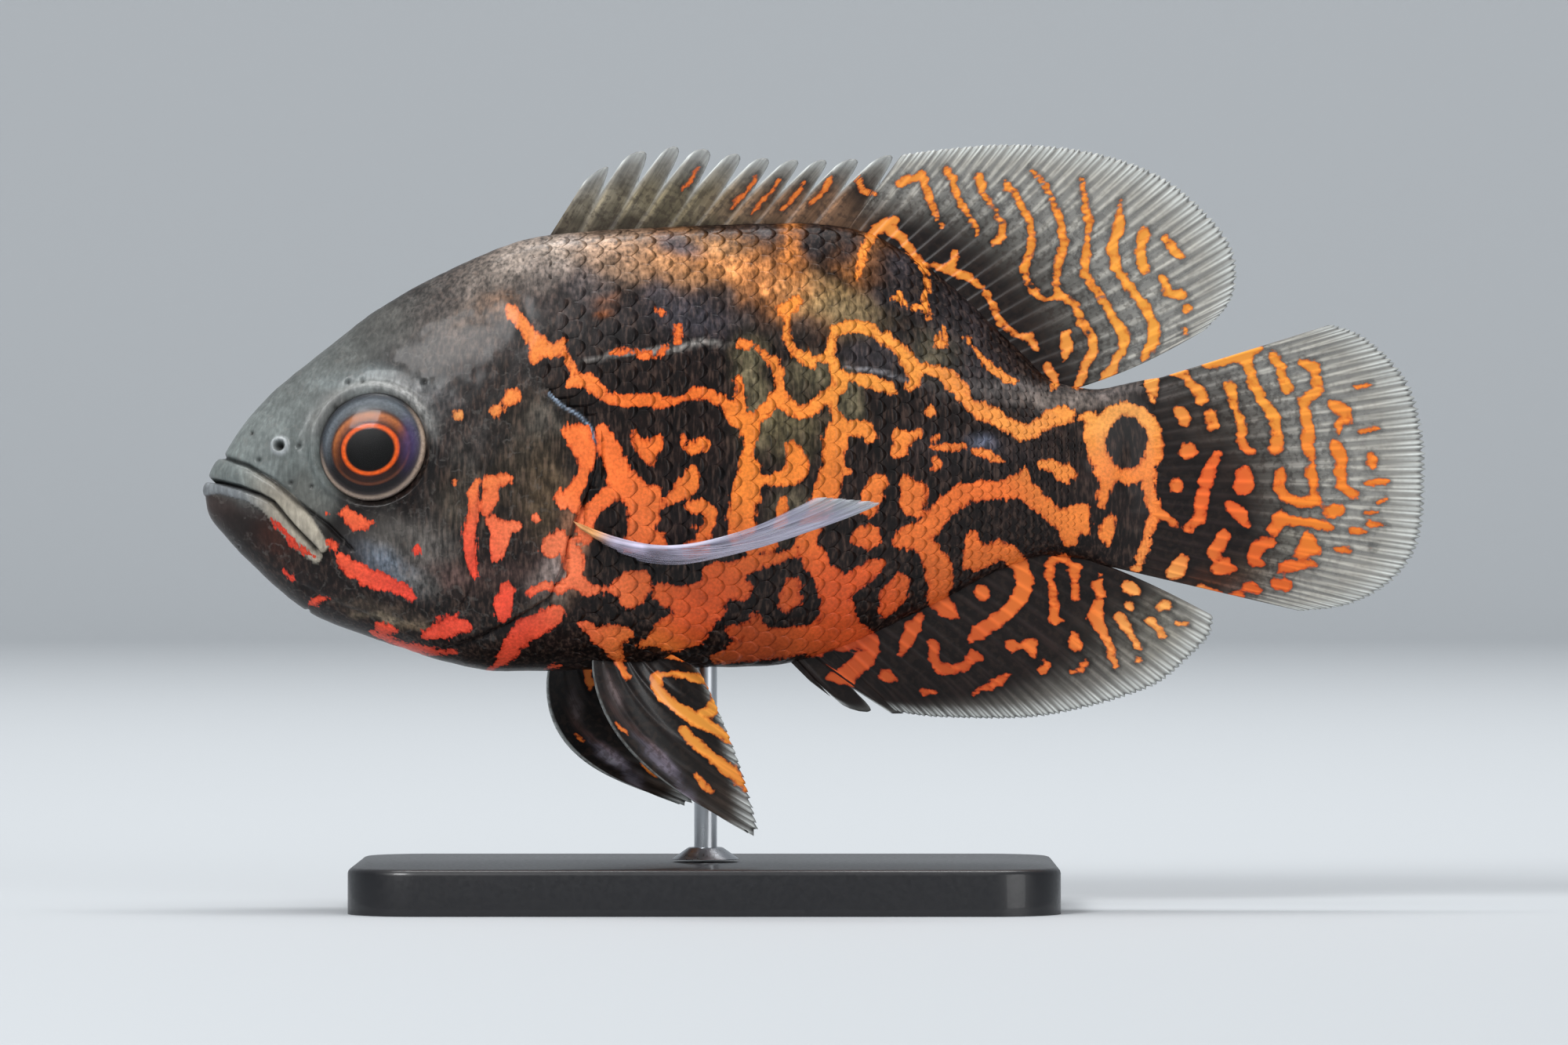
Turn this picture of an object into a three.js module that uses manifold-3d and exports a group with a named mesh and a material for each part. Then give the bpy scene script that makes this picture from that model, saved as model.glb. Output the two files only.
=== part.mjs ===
// A young adult oscar, Astronotus ocellatus, as a still life-size museum model. It hangs in the water with
// its fins spread, on a plain display stand: a flat base and one short rod up to the belly.
// Millimetres, +Z up. The head points along -X and the left side faces -Y. The origin is on the floor, at
// the middle of the base and under the rod. Each part is a closed solid, kept 0.3 mm from the one it
// grows from.
import * as THREE from "three";
import { mergeVertices } from "three/addons/utils/BufferGeometryUtils.js";
import Module from "manifold-3d";

const wasm = await Module();
wasm.setup();

// Driving dimensions. An outline lists [distance behind the snout tip, height above the body's axis].
const SNOUT_X = -65.6; // the snout tip, ahead of the rod
const AXIS_Z = 55.8; // the body's axis above the floor
const BODY_LENGTH = 126.3; // snout to the end of the tail stalk, inside the tail fin's root
const GAP = 0.3; // between parts that touch
const BACK_LINE = [
  [0, -1.3], [0.8, 0.8], [2.4, 3.6], [3.9, 6], [8, 11], [14.2, 16.2], [22.4, 22.5], [30.6, 27.2],
  [38.9, 30.8], [44, 32.3], [60.5, 33.5], [79, 34], [86.2, 33], [91.3, 30.6], [96.5, 27], [106.7, 17.4],
  [111.4, 13.2], [117, 12.2], [121.1, 13], [126.3, 14],
];
const BELLY_LINE = [
  [0, -1.7], [0.4, -4.1], [2.4, -7], [6, -10.8], [10.1, -14.6], [14.2, -17.5], [24.5, -21.4], [30.6, -23.4],
  [38.9, -24.9], [55.3, -24.6], [73.8, -24.2], [80, -22.9], [86.2, -20.6], [96.5, -15.7], [104.7, -11.5],
  [110.5, -9.8], [115, -10.3], [120.1, -11.8], [126.3, -13.8],
];
const HALF_WIDTH = [
  [0, 0.9], [0.4, 2.4], [1.5, 3.6], [3.9, 5.2], [9, 7.2], [16, 9], [22.7, 10.1], [30.6, 11.2], [40, 12.2],
  [51, 12.6], [61.5, 12.2], [72, 11], [82, 9.4], [92.4, 7.5], [102.6, 5.8], [110.8, 4.6], [117, 3.6],
  [122, 2.2], [126.3, 0.9],
];
const WIDEST_HEIGHT = [
  [0, -1.6], [4, -2.2], [10, -3.4], [22.7, -4.5], [40, -2], [51, 0], [61.5, 1.5], [72, 2], [92.4, 3.4],
  [110.8, 1.5], [126.3, 0.2],
];
const BACK_FULLNESS = [
  [0, 2.2], [10, 2], [30, 1.9], [50, 1.9], [80, 1.75], [100, 1.6], [115, 1.9], [126.3, 2],
];
const BELLY_FULLNESS = [
  [0, 2.2], [10, 2.1], [30, 2.2], [60, 2.3], [80, 1.8], [100, 1.6], [115, 1.9], [126.3, 2],
];
const MOUTH_LINE = [
  [-4, 0.6], [0, 0.4], [1.4, 0.1], [4.9, -0.8], [7.6, -1.7], [9.4, -2.7], [12.2, -5.9], [15.8, -9.6],
];
const JAW_HINGE_LINE = [
  [15.8, -9.6], [17.6, -11.4], [18.2, -14], [17.4, -17], [16.4, -22],
];
const UPPER_LIP_TOP = [[-1, 3.4], [2.7, 3.1], [5.9, 2], [9.4, -0.1], [13, -3.2], [15.6, -6.4], [16.6, -8.6]];
const LOWER_LIP_BASE = [
  [-1, -1.6], [1.6, -1.7], [5.9, -2.4], [8.6, -3.6], [11, -6.2], [14.2, -9.6], [15.4, -10.6],
];
const GILL_EDGE = [
  [47.2, 9.9], [49.2, 8.9], [50.9, 7.1], [51.6, 4.6], [51.4, 1.5], [50.3, -1.7], [48.8, -4.8], [47.8, -7.9],
  [46.9, -11.6], [45.4, -15], [40.4, -18.2], [35.9, -20.4],
];
const CHEEK_EDGE = [[38.6, 9], [37.4, 2.6], [36.2, -3.6], [35.9, -8.7], [35.6, -15.4], [34.4, -20]];
const NAPE_TOP = [[47.2, 9.9], [45, 16], [43.4, 24], [42.6, 40]];
const THROAT_END = [[35.9, -20.4], [35.2, -24], [35, -32]];
const TAIL_STALK_AT = 111.4;
const GILL_COVER = { rise: 0.5, depth: 1.2 };
const LIP_RISE = 0.45;
const EYE = { at: [22.4, 4.5], radius: 7.1, dome: 2.6, depth: 2, rimTube: 0.75 };
const NOSTRIL = { at: [10.1, 4.7], rim: 0.9, hole: 0.42, tube: 0.32, depth: 1 };
const BASE = { length: 92, width: 56, thickness: 6, corner: 9, chamfer: 0.8 };
const ROD = { radius: 1.5, foot: 4.5, footHeight: 1.6 };

// A smooth curve through named points, as a function of distance behind the snout. Its slope is worked out
// against the square root of that distance, so that a blunt snout stays round.
function curveThrough(points) {
  const root = (d) => Math.sign(d) * Math.sqrt(Math.abs(d));
  const q = points.map(([d]) => root(d));
  const h = points.map(([, v]) => v);
  const secant = q.slice(1).map((value, i) => (h[i + 1] - h[i]) / (value - q[i]));
  const slope = q.map((_, i) => {
    if (i === 0) return secant[0];
    if (i === q.length - 1) return secant[i - 1];
    if (secant[i - 1] * secant[i] <= 0) return 0;
    return (2 * secant[i - 1] * secant[i]) / (secant[i - 1] + secant[i]);
  });
  return (d) => {
    const at = root(d);
    let i = 0;
    while (i < q.length - 2 && at > q[i + 1]) i += 1;
    const width = q[i + 1] - q[i];
    const t = Math.min(1, Math.max(0, (at - q[i]) / width));
    const a = h[i] * (1 + 2 * t) * (1 - t) ** 2 + slope[i] * width * t * (1 - t) ** 2;
    return a + h[i + 1] * t * t * (3 - 2 * t) + slope[i + 1] * width * t * t * (t - 1);
  };
}

const back = curveThrough(BACK_LINE);
const belly = curveThrough(BELLY_LINE);
const halfWidth = curveThrough(HALF_WIDTH);
const widest = curveThrough(WIDEST_HEIGHT);
const backFullness = curveThrough(BACK_FULLNESS);
const bellyFullness = curveThrough(BELLY_FULLNESS);

// A point of the body's skin at a distance behind the snout and an angle round the section, from the left
// side (0) over the back (a quarter turn), grown outwards by a few tenths where a part lies on the skin.
function skinPoint(distance, angle, grow = 0) {
  const [c, s] = [Math.cos(angle), Math.sin(angle)];
  const middle = widest(distance);
  const height = (s > 0 ? back(distance) - middle : middle - belly(distance)) + grow;
  const power = 2 / (s > 0 ? backFullness(distance) : bellyFullness(distance));
  const y = -(halfWidth(distance) + grow) * Math.sign(c) * Math.abs(c) ** power;
  const z = middle + height * Math.sign(s) * Math.abs(s) ** power;
  return new THREE.Vector3(SNOUT_X + distance, y, AXIS_Z + z);
}

// The half-width of the skin at a distance and a height, for what sits on the side of the body.
function sideAt(distance, height) {
  const middle = widest(distance);
  const above = height > middle;
  const reach = above ? back(distance) - middle : middle - belly(distance);
  const power = above ? backFullness(distance) : bellyFullness(distance);
  const share = Math.min(1, Math.abs(height - middle) / reach);
  return halfWidth(distance) * (1 - share ** power) ** (1 / power);
}

const place = ([distance, height], y = 0) => new THREE.Vector3(SNOUT_X + distance, y, AXIS_Z + height);

// A closed geometry as a solid, and back.
function solid(geometry) {
  const bare = geometry.index ? geometry.toNonIndexed() : geometry;
  const positions = new THREE.BufferGeometry().setAttribute("position", bare.getAttribute("position"));
  const merged = mergeVertices(positions, 1e-4);
  const mesh = new wasm.Mesh({
    numProp: 3,
    vertProperties: new Float32Array(merged.attributes.position.array),
    triVerts: new Uint32Array(merged.index.array),
  });
  return new wasm.Manifold(mesh);
}

function geometryOf(made) {
  const mesh = made.getMesh();
  const positions = new Float32Array(mesh.numVert * 3);
  for (let i = 0; i < mesh.numVert; i += 1) {
    for (let k = 0; k < 3; k += 1) positions[3 * i + k] = mesh.vertProperties[mesh.numProp * i + k];
  }
  return new THREE.BufferGeometry()
    .setAttribute("position", new THREE.BufferAttribute(positions, 3))
    .setIndex(new THREE.BufferAttribute(mesh.triVerts, 1));
}

// After a cut, the largest closed piece.
function largest(made) {
  return made.decompose().reduce((best, piece) => (piece.volume() > best.volume() ? piece : best));
}

// Triangles from a grid of points that closes round its columns, with a point at each end.
function closedTube(rings, first, last) {
  const columns = rings[0].length;
  const points = [first, ...rings.flat(), last];
  const faces = [];
  const at = (ring, column) => 1 + ring * columns + (column % columns);
  for (let c = 0; c < columns; c += 1) {
    faces.push(0, at(0, c), at(0, c + 1));
    faces.push(points.length - 1, at(rings.length - 1, c + 1), at(rings.length - 1, c));
    for (let r = 0; r + 1 < rings.length; r += 1) {
      faces.push(at(r, c), at(r + 1, c), at(r, c + 1));
      faces.push(at(r + 1, c), at(r + 1, c + 1), at(r, c + 1));
    }
  }
  return new THREE.BufferGeometry().setFromPoints(points).setIndex(faces);
}

// The whole body, grown or shrunk by a few tenths of a millimetre.
const BODY_RINGS = 50;
const BODY_SIDES = 36;
function body(grow = 0) {
  const rings = [];
  for (let r = 1; r <= BODY_RINGS; r += 1) {
    const distance = BODY_LENGTH * (r / BODY_RINGS) ** 1.5;
    const ring = [];
    for (let c = 0; c < BODY_SIDES; c += 1) {
      ring.push(skinPoint(distance, (2 * Math.PI * c) / BODY_SIDES, grow));
    }
    rings.push(ring);
  }
  const nose = place([-grow, -1.5]);
  const end = place([BODY_LENGTH + grow, 0.2]);
  return solid(closedTube(rings, nose, end));
}

// A region seen from the side, cut right across the fish.
const ACROSS = 60;
function across(outline) {
  const shape = new THREE.Shape(outline.map(([d, h]) => new THREE.Vector2(SNOUT_X + d, AXIS_Z + h)));
  const geometry = new THREE.ExtrudeGeometry(shape, { depth: ACROSS, bevelEnabled: false });
  geometry.rotateX(Math.PI / 2);
  geometry.translate(0, ACROSS / 2, 0);
  return solid(geometry);
}

// Points spread evenly on a smooth line through an outline.
function smoothed(outline, steps) {
  const line = new THREE.SplineCurve(outline.map(([d, h]) => new THREE.Vector2(d, h)));
  return line.getSpacedPoints(steps).map((p) => [p.x, p.y]);
}

// A thin cut that follows a line seen from the side.
function slit(outline, width = GAP) {
  const offset = (sign) =>
    outline.map(([d, h], i) => {
      const [d0, h0] = outline[Math.max(0, i - 1)];
      const [d1, h1] = outline[Math.min(outline.length - 1, i + 1)];
      const length = Math.hypot(d1 - d0, h1 - h0);
      return [d - (sign * width * (h1 - h0)) / (2 * length), h + (sign * width * (d1 - d0)) / (2 * length)];
    });
  return across([...offset(1), ...offset(-1).reverse()]);
}

// A solid of revolution round an axis through the left or right side of the body, square to the skin there.
const SIDES = { left: -1, right: 1 };
function onSkin(profile, [distance, height], side, steps) {
  const spin = new THREE.LatheGeometry(profile.map(([r, out]) => new THREE.Vector2(r, out)), steps);
  const step = 2;
  const [fore, aft] = [sideAt(distance - step, height), sideAt(distance + step, height)];
  const [low, high] = [sideAt(distance, height - step), sideAt(distance, height + step)];
  const out = new THREE.Vector3((fore - aft) / (2 * step), SIDES[side], (low - high) / (2 * step));
  const turn = new THREE.Quaternion().setFromUnitVectors(new THREE.Vector3(0, 1, 0), out.normalize());
  spin.applyQuaternion(turn);
  const centre = place([distance, height], SIDES[side] * sideAt(distance, height));
  spin.translate(centre.x, centre.y, centre.z);
  return solid(spin);
}

// Lathe profiles, as [radius, distance out of the skin], from the inner end of the axis to the outer one.
function eyeProfile(grow = 0) {
  const { radius, dome, depth } = EYE;
  const points = [[0, -depth - grow], [radius + grow, -depth - grow], [radius + grow, 0.2]];
  const steps = 6;
  for (let i = 1; i <= steps; i += 1) {
    const a = (i / steps) * (Math.PI / 2);
    points.push([(radius + grow) * Math.cos(a), 0.2 + (dome + grow) * Math.sin(a)]);
  }
  points[points.length - 1][0] = 0;
  return points;
}

function ringProfile(radius, tube, out = 0) {
  const points = [];
  const steps = 8;
  for (let i = 0; i <= steps; i += 1) {
    const a = -Math.PI / 2 + (i / steps) * 2 * Math.PI;
    points.push([radius + tube * Math.cos(a), out + tube * Math.sin(a)]);
  }
  points[steps] = [...points[0]];
  return points;
}

// The head's own parts: lips, nostrils, the skin fold round each eye, the gill covers and the lower jaw.
const mouthLine = smoothed(MOUTH_LINE, 18);
const upperLip = across([...smoothed(UPPER_LIP_TOP, 12), ...mouthLine.slice(3).reverse(), [-1, 0.4]]);
const lowerLip = across([...mouthLine.slice(3), ...smoothed(LOWER_LIP_BASE, 12).reverse(), [-1, 0.4]]);
const lipLayer = body(LIP_RISE);
const gillEdge = smoothed(GILL_EDGE, 16);
const gillRegion = [...gillEdge, ...smoothed(CHEEK_EDGE, 10).reverse()];

function wholeFlesh() {
  let flesh = body();
  flesh = flesh.add(lipLayer.intersect(upperLip)).add(lipLayer.intersect(lowerLip));
  for (const side of Object.keys(SIDES)) {
    const { radius, rimTube } = EYE;
    flesh = flesh.add(onSkin(ringProfile(radius + rimTube, rimTube), EYE.at, side, 28));
    flesh = flesh.add(onSkin(ringProfile(NOSTRIL.rim, NOSTRIL.tube, 0.1), NOSTRIL.at, side, 10));
    flesh = flesh.subtract(onSkin(eyeProfile(GAP), EYE.at, side, 28));
    const bore = [[0, -NOSTRIL.depth], [NOSTRIL.hole, -NOSTRIL.depth], [NOSTRIL.hole, 2], [0, 2]];
    flesh = flesh.subtract(onSkin(bore, NOSTRIL.at, side, 10));
  }
  return flesh;
}

// A gill cover is a plate that lies in a shallow seat in the side of the head and stands a little proud.
function gillCover(side) {
  const half = new THREE.BoxGeometry(300, 60, 300);
  half.translate(0, SIDES[side] * 33, 0);
  const plate = body(GILL_COVER.rise).subtract(body(-GILL_COVER.depth));
  return largest(plate.intersect(across(gillRegion)).intersect(solid(half)));
}

function divideFlesh() {
  const seats = body(3).subtract(body(-GILL_COVER.depth - GAP)).intersect(across(outset(gillRegion, GAP)));
  const middle = new THREE.BoxGeometry(300, 5.6, 300);
  const flesh = wholeFlesh().subtract(seats.subtract(solid(middle)));
  const throat = smoothed(THROAT_END, 3).slice(1);
  const headBack = [...smoothed(NAPE_TOP, 6).reverse(), ...gillEdge.slice(1), ...throat];
  const stalkCut = [[TAIL_STALK_AT, 30], [TAIL_STALK_AT, -30]];
  const pieces = flesh
    .subtract(slit(headBack))
    .subtract(slit(stalkCut))
    .subtract(slit([...mouthLine, ...smoothed(JAW_HINGE_LINE, 8).slice(1)]))
    .decompose()
    .filter((piece) => piece.volume() > 20);
  const middleOf = (piece) => {
    const box = piece.boundingBox();
    return [(box.min[0] + box.max[0]) / 2 - SNOUT_X, (box.min[2] + box.max[2]) / 2 - AXIS_Z];
  };
  pieces.sort((a, b) => middleOf(a)[0] - middleOf(b)[0]);
  const [jaw, head, torso, stalk] = pieces;
  return { lower_jaw: jaw, head, torso, tail_stalk: stalk };
}

// An outline moved outwards by a small width.
function outset(outline, width) {
  const n = outline.length;
  const next = (i) => outline[(i + 1) % n];
  const sign = Math.sign(outline.reduce((sum, [d, h], i) => sum + d * next(i)[1] - next(i)[0] * h, 0));
  return outline.map(([d, h], i) => {
    const [d0, h0] = outline[(i + n - 1) % n];
    const [d1, h1] = next(i);
    const length = Math.hypot(d1 - d0, h1 - h0);
    return [d + (sign * width * (h1 - h0)) / length, h - (sign * width * (d1 - d0)) / length];
  });
}

// A fin is a thin web stiffened by rays. Its sheet runs over columns from root to edge: each ray is a column
// that stands proud on both faces, with a lower column of web between two rays.
const WEB = { root: 0.42, edge: 0.24 }; // half the web's thickness
const RAY = { root: 0.3, edge: 0.1 }; // how far a ray stands out of each face
function finSheet({ columns, rows, point, ridge, outward = new THREE.Vector3(0, 1, 0) }) {
  const faceOf = (sign) => {
    const grid = [];
    for (let c = 0; c <= columns; c += 1) {
      for (let r = 0; r <= rows; r += 1) {
        const [u, v] = [c / columns, r / rows];
        const web = WEB.root + (WEB.edge - WEB.root) * v;
        const ray = (RAY.root + (RAY.edge - RAY.root) * v) * ridge(c, v);
        grid.push(point(u, v, c).addScaledVector(outward, sign * (web + ray)));
      }
    }
    return grid;
  };
  const [near, far] = [faceOf(-1), faceOf(1)];
  const count = near.length;
  const at = (c, r) => c * (rows + 1) + r;
  const faces = [];
  for (let c = 0; c < columns; c += 1) {
    for (let r = 0; r < rows; r += 1) {
      const [a, b, d, e] = [at(c, r), at(c + 1, r), at(c, r + 1), at(c + 1, r + 1)];
      faces.push(a, b, d, d, b, e);
      faces.push(count + a, count + d, count + b, count + d, count + e, count + b);
    }
  }
  const rim = [];
  for (let c = 0; c < columns; c += 1) rim.push(at(c, 0));
  for (let r = 0; r < rows; r += 1) rim.push(at(columns, r));
  for (let c = columns; c > 0; c -= 1) rim.push(at(c, rows));
  for (let r = rows; r > 0; r -= 1) rim.push(at(0, r));
  rim.forEach((a, i) => {
    const b = rim[(i + 1) % rim.length];
    faces.push(a, count + a, b, b, count + a, count + b);
  });
  const made = solid(new THREE.BufferGeometry().setFromPoints([...near, ...far]).setIndex(faces));
  return made.volume() < 0 ? turnedOut(near, far, faces) : made;
}

// The same sheet with its faces turned, for a fin that is mirrored to the other side.
function turnedOut(near, far, faces) {
  const turned = [];
  for (let i = 0; i < faces.length; i += 3) turned.push(faces[i], faces[i + 2], faces[i + 1]);
  return solid(new THREE.BufferGeometry().setFromPoints([...near, ...far]).setIndex(turned));
}

// A smooth line of points, read by a share from 0 to 1 of its length.
function line(outline) {
  const curve = new THREE.SplineCurve(outline.map(([d, h]) => new THREE.Vector2(d, h)));
  return (share) => curve.getPointAt(Math.min(1, Math.max(0, share)));
}

// An upright fin on the midline. Its web between rays ends a little short of them, and it sways sideways.
const NOTCH = 0.015; // how far the web ends short of its rays, as a share of their length
function uprightFin({ root, edge, rays, rows, sway, swayTurns = 1 }) {
  const [rootAt, edgeAt] = [line(root), line(edge)];
  return finSheet({
    columns: 2 * (rays - 1),
    rows,
    ridge: (c) => (c % 2 === 0 ? 1 : 0),
    point: (u, v, c) => {
      const reach = v * (c % 2 === 0 ? 1 : 1 - NOTCH);
      const p = rootAt(u).lerp(edgeAt(u), reach);
      return place([p.x, p.y], sway * v * v * Math.sin(Math.PI * swayTurns * u));
    },
  });
}

// The spiny part of the dorsal fin: each spine carries a lappet of web behind its tip, and a notch lies
// between the lappet and the next spine.
const SPINE_ROOTS = [
  [43.4, 31.5], [48.2, 31.8], [51.8, 32], [55, 32.2], [59.3, 32.4], [62.5, 32.5], [66.2, 32.7],
  [70.3, 32.8], [74.4, 32.9], [78, 33], [81.6, 32.6],
];
const SPINE_TIPS = [
  [50, 39.8], [55, 42.6], [60.1, 43.6], [63.8, 43.4], [68.2, 42.8], [71.8, 42.2], [75.7, 41.9],
  [79.5, 41.9], [83.1, 41.9], [87.6, 42.2], [91.8, 43],
];
const LAPPET = [1, 1.03, 0.93, 0.66]; // how high the web reaches from one spine to the next
function spinyDorsal() {
  const steps = LAPPET.length;
  const bays = SPINE_ROOTS.length - 1;
  const between = (list, at) => {
    const i = Math.min(bays - 1, Math.floor(at));
    const t = at - i;
    return [list[i][0] + t * (list[i + 1][0] - list[i][0]), list[i][1] + t * (list[i + 1][1] - list[i][1])];
  };
  return finSheet({
    columns: bays * steps,
    rows: 4,
    ridge: (c, v) => (c % steps === 0 ? 1.6 - v : 0),
    point: (u, v, c) => {
      const at = c / steps;
      const [root, tip] = [between(SPINE_ROOTS, at), between(SPINE_TIPS, at)];
      const reach = v * LAPPET[c % steps];
      const low = root[1] - 1.5 * (1 - v);
      return place([root[0] + reach * (tip[0] - root[0]), low + reach * (tip[1] - root[1])]);
    },
  });
}

const SOFT_DORSAL = {
  root: [[82.6, 31], [86.2, 30], [91.3, 27.6], [96.5, 24], [101.6, 19.6], [106.4, 14.6], [110.8, 11.2]],
  edge: [[92.5, 43.1], [96.4, 43.7], [104.7, 44.4], [112.9, 44], [120.1, 42.5], [126.3, 39.8], [131.4, 35.5],
    [134.6, 31.3], [135.4, 27.2], [134.4, 23.4], [131.2, 19.9]],
  rays: 20,
  rows: 5,
  sway: 1.4,
};
const ANAL_FIN = {
  root: [[80, -20], [83, -19.6], [86.2, -18.4], [96.5, -13.7], [104.7, -9.6], [110, -8]],
  edge: [[92, -30.4], [94.6, -30.8], [98.5, -31], [104.7, -31.1], [109.8, -30.8], [115, -29.8],
    [120.1, -28.4], [125.2, -26.4], [129, -23.2], [131.8, -20.2], [132.3, -17.6]],
  rays: 17,
  rows: 5,
  sway: -1.2,
};
const ANAL_SPINES = {
  roots: [[74.5, -22.6], [75.6, -22.2], [77, -21.4], [79, -21]],
  tips: [[79.6, -26.4], [83.9, -29.6], [90, -30.4], [91.2, -30.5]],
};
const TAIL_FIN = {
  root: [[119, 12.4], [121.6, 9], [122.6, 4], [122.8, 0], [122.6, -4], [121.6, -9], [119, -11.6]],
  edge: [[147.8, 20.7], [152, 19.2], [156.1, 15.7], [158.6, 11.8], [160, 5.7], [160.1, 0.5], [159.8, -5.1],
    [158.4, -9.8], [155, -13.6], [149.9, -16.2], [143.8, -17]],
  rays: 19,
  rows: 7,
  sway: 1.2,
  swayTurns: 2,
};

// The three anal spines, each with its web to the next, on the same plan as the dorsal's.
function analSpines() {
  const { roots, tips } = ANAL_SPINES;
  const steps = 3;
  const reachOf = [1, 0.96, 0.8];
  const bays = roots.length - 1;
  return finSheet({
    columns: bays * steps,
    rows: 3,
    ridge: (c, v) => (c % steps === 0 ? 1.5 - v : 0),
    point: (u, v, c) => {
      const i = Math.min(bays - 1, Math.floor(c / steps));
      const t = c / steps - i;
      const mix = (list, k) => list[i][k] + t * (list[i + 1][k] - list[i][k]);
      const reach = v * (i === bays - 1 ? 1 : reachOf[c % steps]);
      const [d, h] = [0, 1].map((k) => mix(roots, k) + reach * (mix(tips, k) - mix(roots, k)));
      return place([d, h + 1.2 * (1 - v)]);
    },
  });
}

// A pectoral fin fans out in its own plane: along runs from root to tip, wide from the leading ray to the
// last. Lengths and angles are of its rays, and the fan sags by cup half way along.
function pectoralFin(side) {
  const { rays, rows, root, along, wide, rootWidth, lengths, angles, cup, notch } = PECTORAL;
  const [lengthAt, angleAt] = [line(lengths), line(angles)];
  const a = new THREE.Vector3(...along).normalize();
  const w = new THREE.Vector3(...wide);
  w.addScaledVector(a, -w.dot(a)).normalize();
  const out = new THREE.Vector3().crossVectors(a, w).normalize();
  const start = new THREE.Vector3(...root);
  const mirrorTo = (p) => p.setY(side === "left" ? p.y : -p.y);
  return finSheet({
    columns: 2 * (rays - 1),
    rows,
    ridge: (c) => (c % 2 === 0 ? 1 : 0),
    outward: mirrorTo(out),
    point: (u, v, c) => {
      const length = lengthAt(u).y * (c % 2 === 0 ? 1 : 1 - notch) * v;
      const turn = THREE.MathUtils.degToRad(angleAt(u).y);
      const p = start.clone();
      p.addScaledVector(w, rootWidth * (u - 0.5) + length * Math.sin(turn));
      p.addScaledVector(a, length * Math.cos(turn));
      p.z -= cup * Math.sin(Math.PI * v ** 0.8);
      return mirrorTo(p);
    },
  });
}

const PECTORAL = {
  rays: 13,
  rows: 6,
  rootWidth: 4.6,
  root: [SNOUT_X + 49.4, -11.4, AXIS_Z - 5.6],
  along: [0.925, -0.37, 0.05],
  wide: [0.42, 0.9, -0.36],
  lengths: [[0, 38], [0.15, 43.5], [0.35, 41], [0.6, 34], [0.85, 25], [1, 17]],
  angles: [[0, -9], [0.25, -3], [0.5, 6], [0.75, 17], [1, 29]],
  cup: 4.6,
  notch: 0.03,
};

// A pelvic fin hangs from the belly and splays outwards. Its rays bow forwards, most at the leading edge.
function pelvicFin({ side, root, edge, bow, splay, rays, rows }) {
  const [rootAt, edgeAt] = [line(root), line(edge)];
  const notch = 0.02;
  return finSheet({
    columns: 2 * (rays - 1),
    rows,
    ridge: (c) => (c % 2 === 0 ? 1 : 0),
    point: (u, v, c) => {
      const [from, to] = [rootAt(u), edgeAt(u)];
      const chord = to.clone().sub(from);
      const p = from.addScaledVector(chord, v * (c % 2 === 0 ? 1 : 1 - notch));
      const bend = (bow * (1 - u) ** 1.5 * Math.sin(Math.PI * v ** 0.75)) / chord.length();
      const y = splay.root + (splay.tip - splay.root) * v + splay.fold * u * (1 - v);
      return place([p.x + chord.y * bend, p.y - chord.x * bend], SIDES[side] * y);
    },
  });
}

const PELVIC = { rays: 7, rows: 7, splay: { root: 4.6, tip: 11.6, fold: -2.4 } };
const LEFT_PELVIC = {
  ...PELVIC,
  side: "left",
  root: [[51, -22.6], [55, -22.4], [59.4, -22]],
  edge: [[70.7, -45.6], [72.6, -45.8], [71.4, -40.6], [69.8, -35.6], [67.8, -30.6], [66, -26.6],
    [64.8, -24.4]],
  bow: 4.7,
};
const RIGHT_PELVIC = {
  ...PELVIC,
  side: "right",
  root: [[45.4, -23.4], [50, -23], [54.4, -22.6]],
  edge: [[61.6, -42.8], [63.8, -42.5], [64, -38.4], [63.2, -34.4], [62, -30.6], [60.6, -27.4],
    [59.4, -25.2]],
  bow: 6,
};

// The display stand: a flat base with bevelled round corners, and a rod with a small foot.
function standBase() {
  const { length, width, thickness, corner, chamfer } = BASE;
  const [x, y, r] = [length / 2 - chamfer, width / 2 - chamfer, corner - chamfer];
  const shape = new THREE.Shape();
  shape.moveTo(-x + r, -y).lineTo(x - r, -y).absarc(x - r, -y + r, r, -Math.PI / 2, 0);
  shape.lineTo(x, y - r).absarc(x - r, y - r, r, 0, Math.PI / 2);
  shape.lineTo(-x + r, y).absarc(-x + r, y - r, r, Math.PI / 2, Math.PI);
  shape.lineTo(-x, -y + r).absarc(-x + r, -y + r, r, Math.PI, 1.5 * Math.PI);
  const geometry = new THREE.ExtrudeGeometry(shape, {
    depth: thickness - 2 * chamfer,
    bevelThickness: chamfer,
    bevelSize: chamfer,
    bevelSegments: 1,
    curveSegments: 5,
  });
  geometry.translate(0, 0, chamfer);
  return solid(geometry);
}

function standRod() {
  const { radius, foot, footHeight } = ROD;
  const low = BASE.thickness + GAP;
  const profile = [[0, low], [foot, low], [foot, low + 0.6], [foot - 0.6, low + footHeight]];
  profile.push([radius, low + footHeight], [radius, AXIS_Z - 16], [0, AXIS_Z - 16]);
  const geometry = new THREE.LatheGeometry(profile.map(([r, z]) => new THREE.Vector2(r, z)), 16);
  return solid(geometry.rotateX(Math.PI / 2));
}

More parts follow.
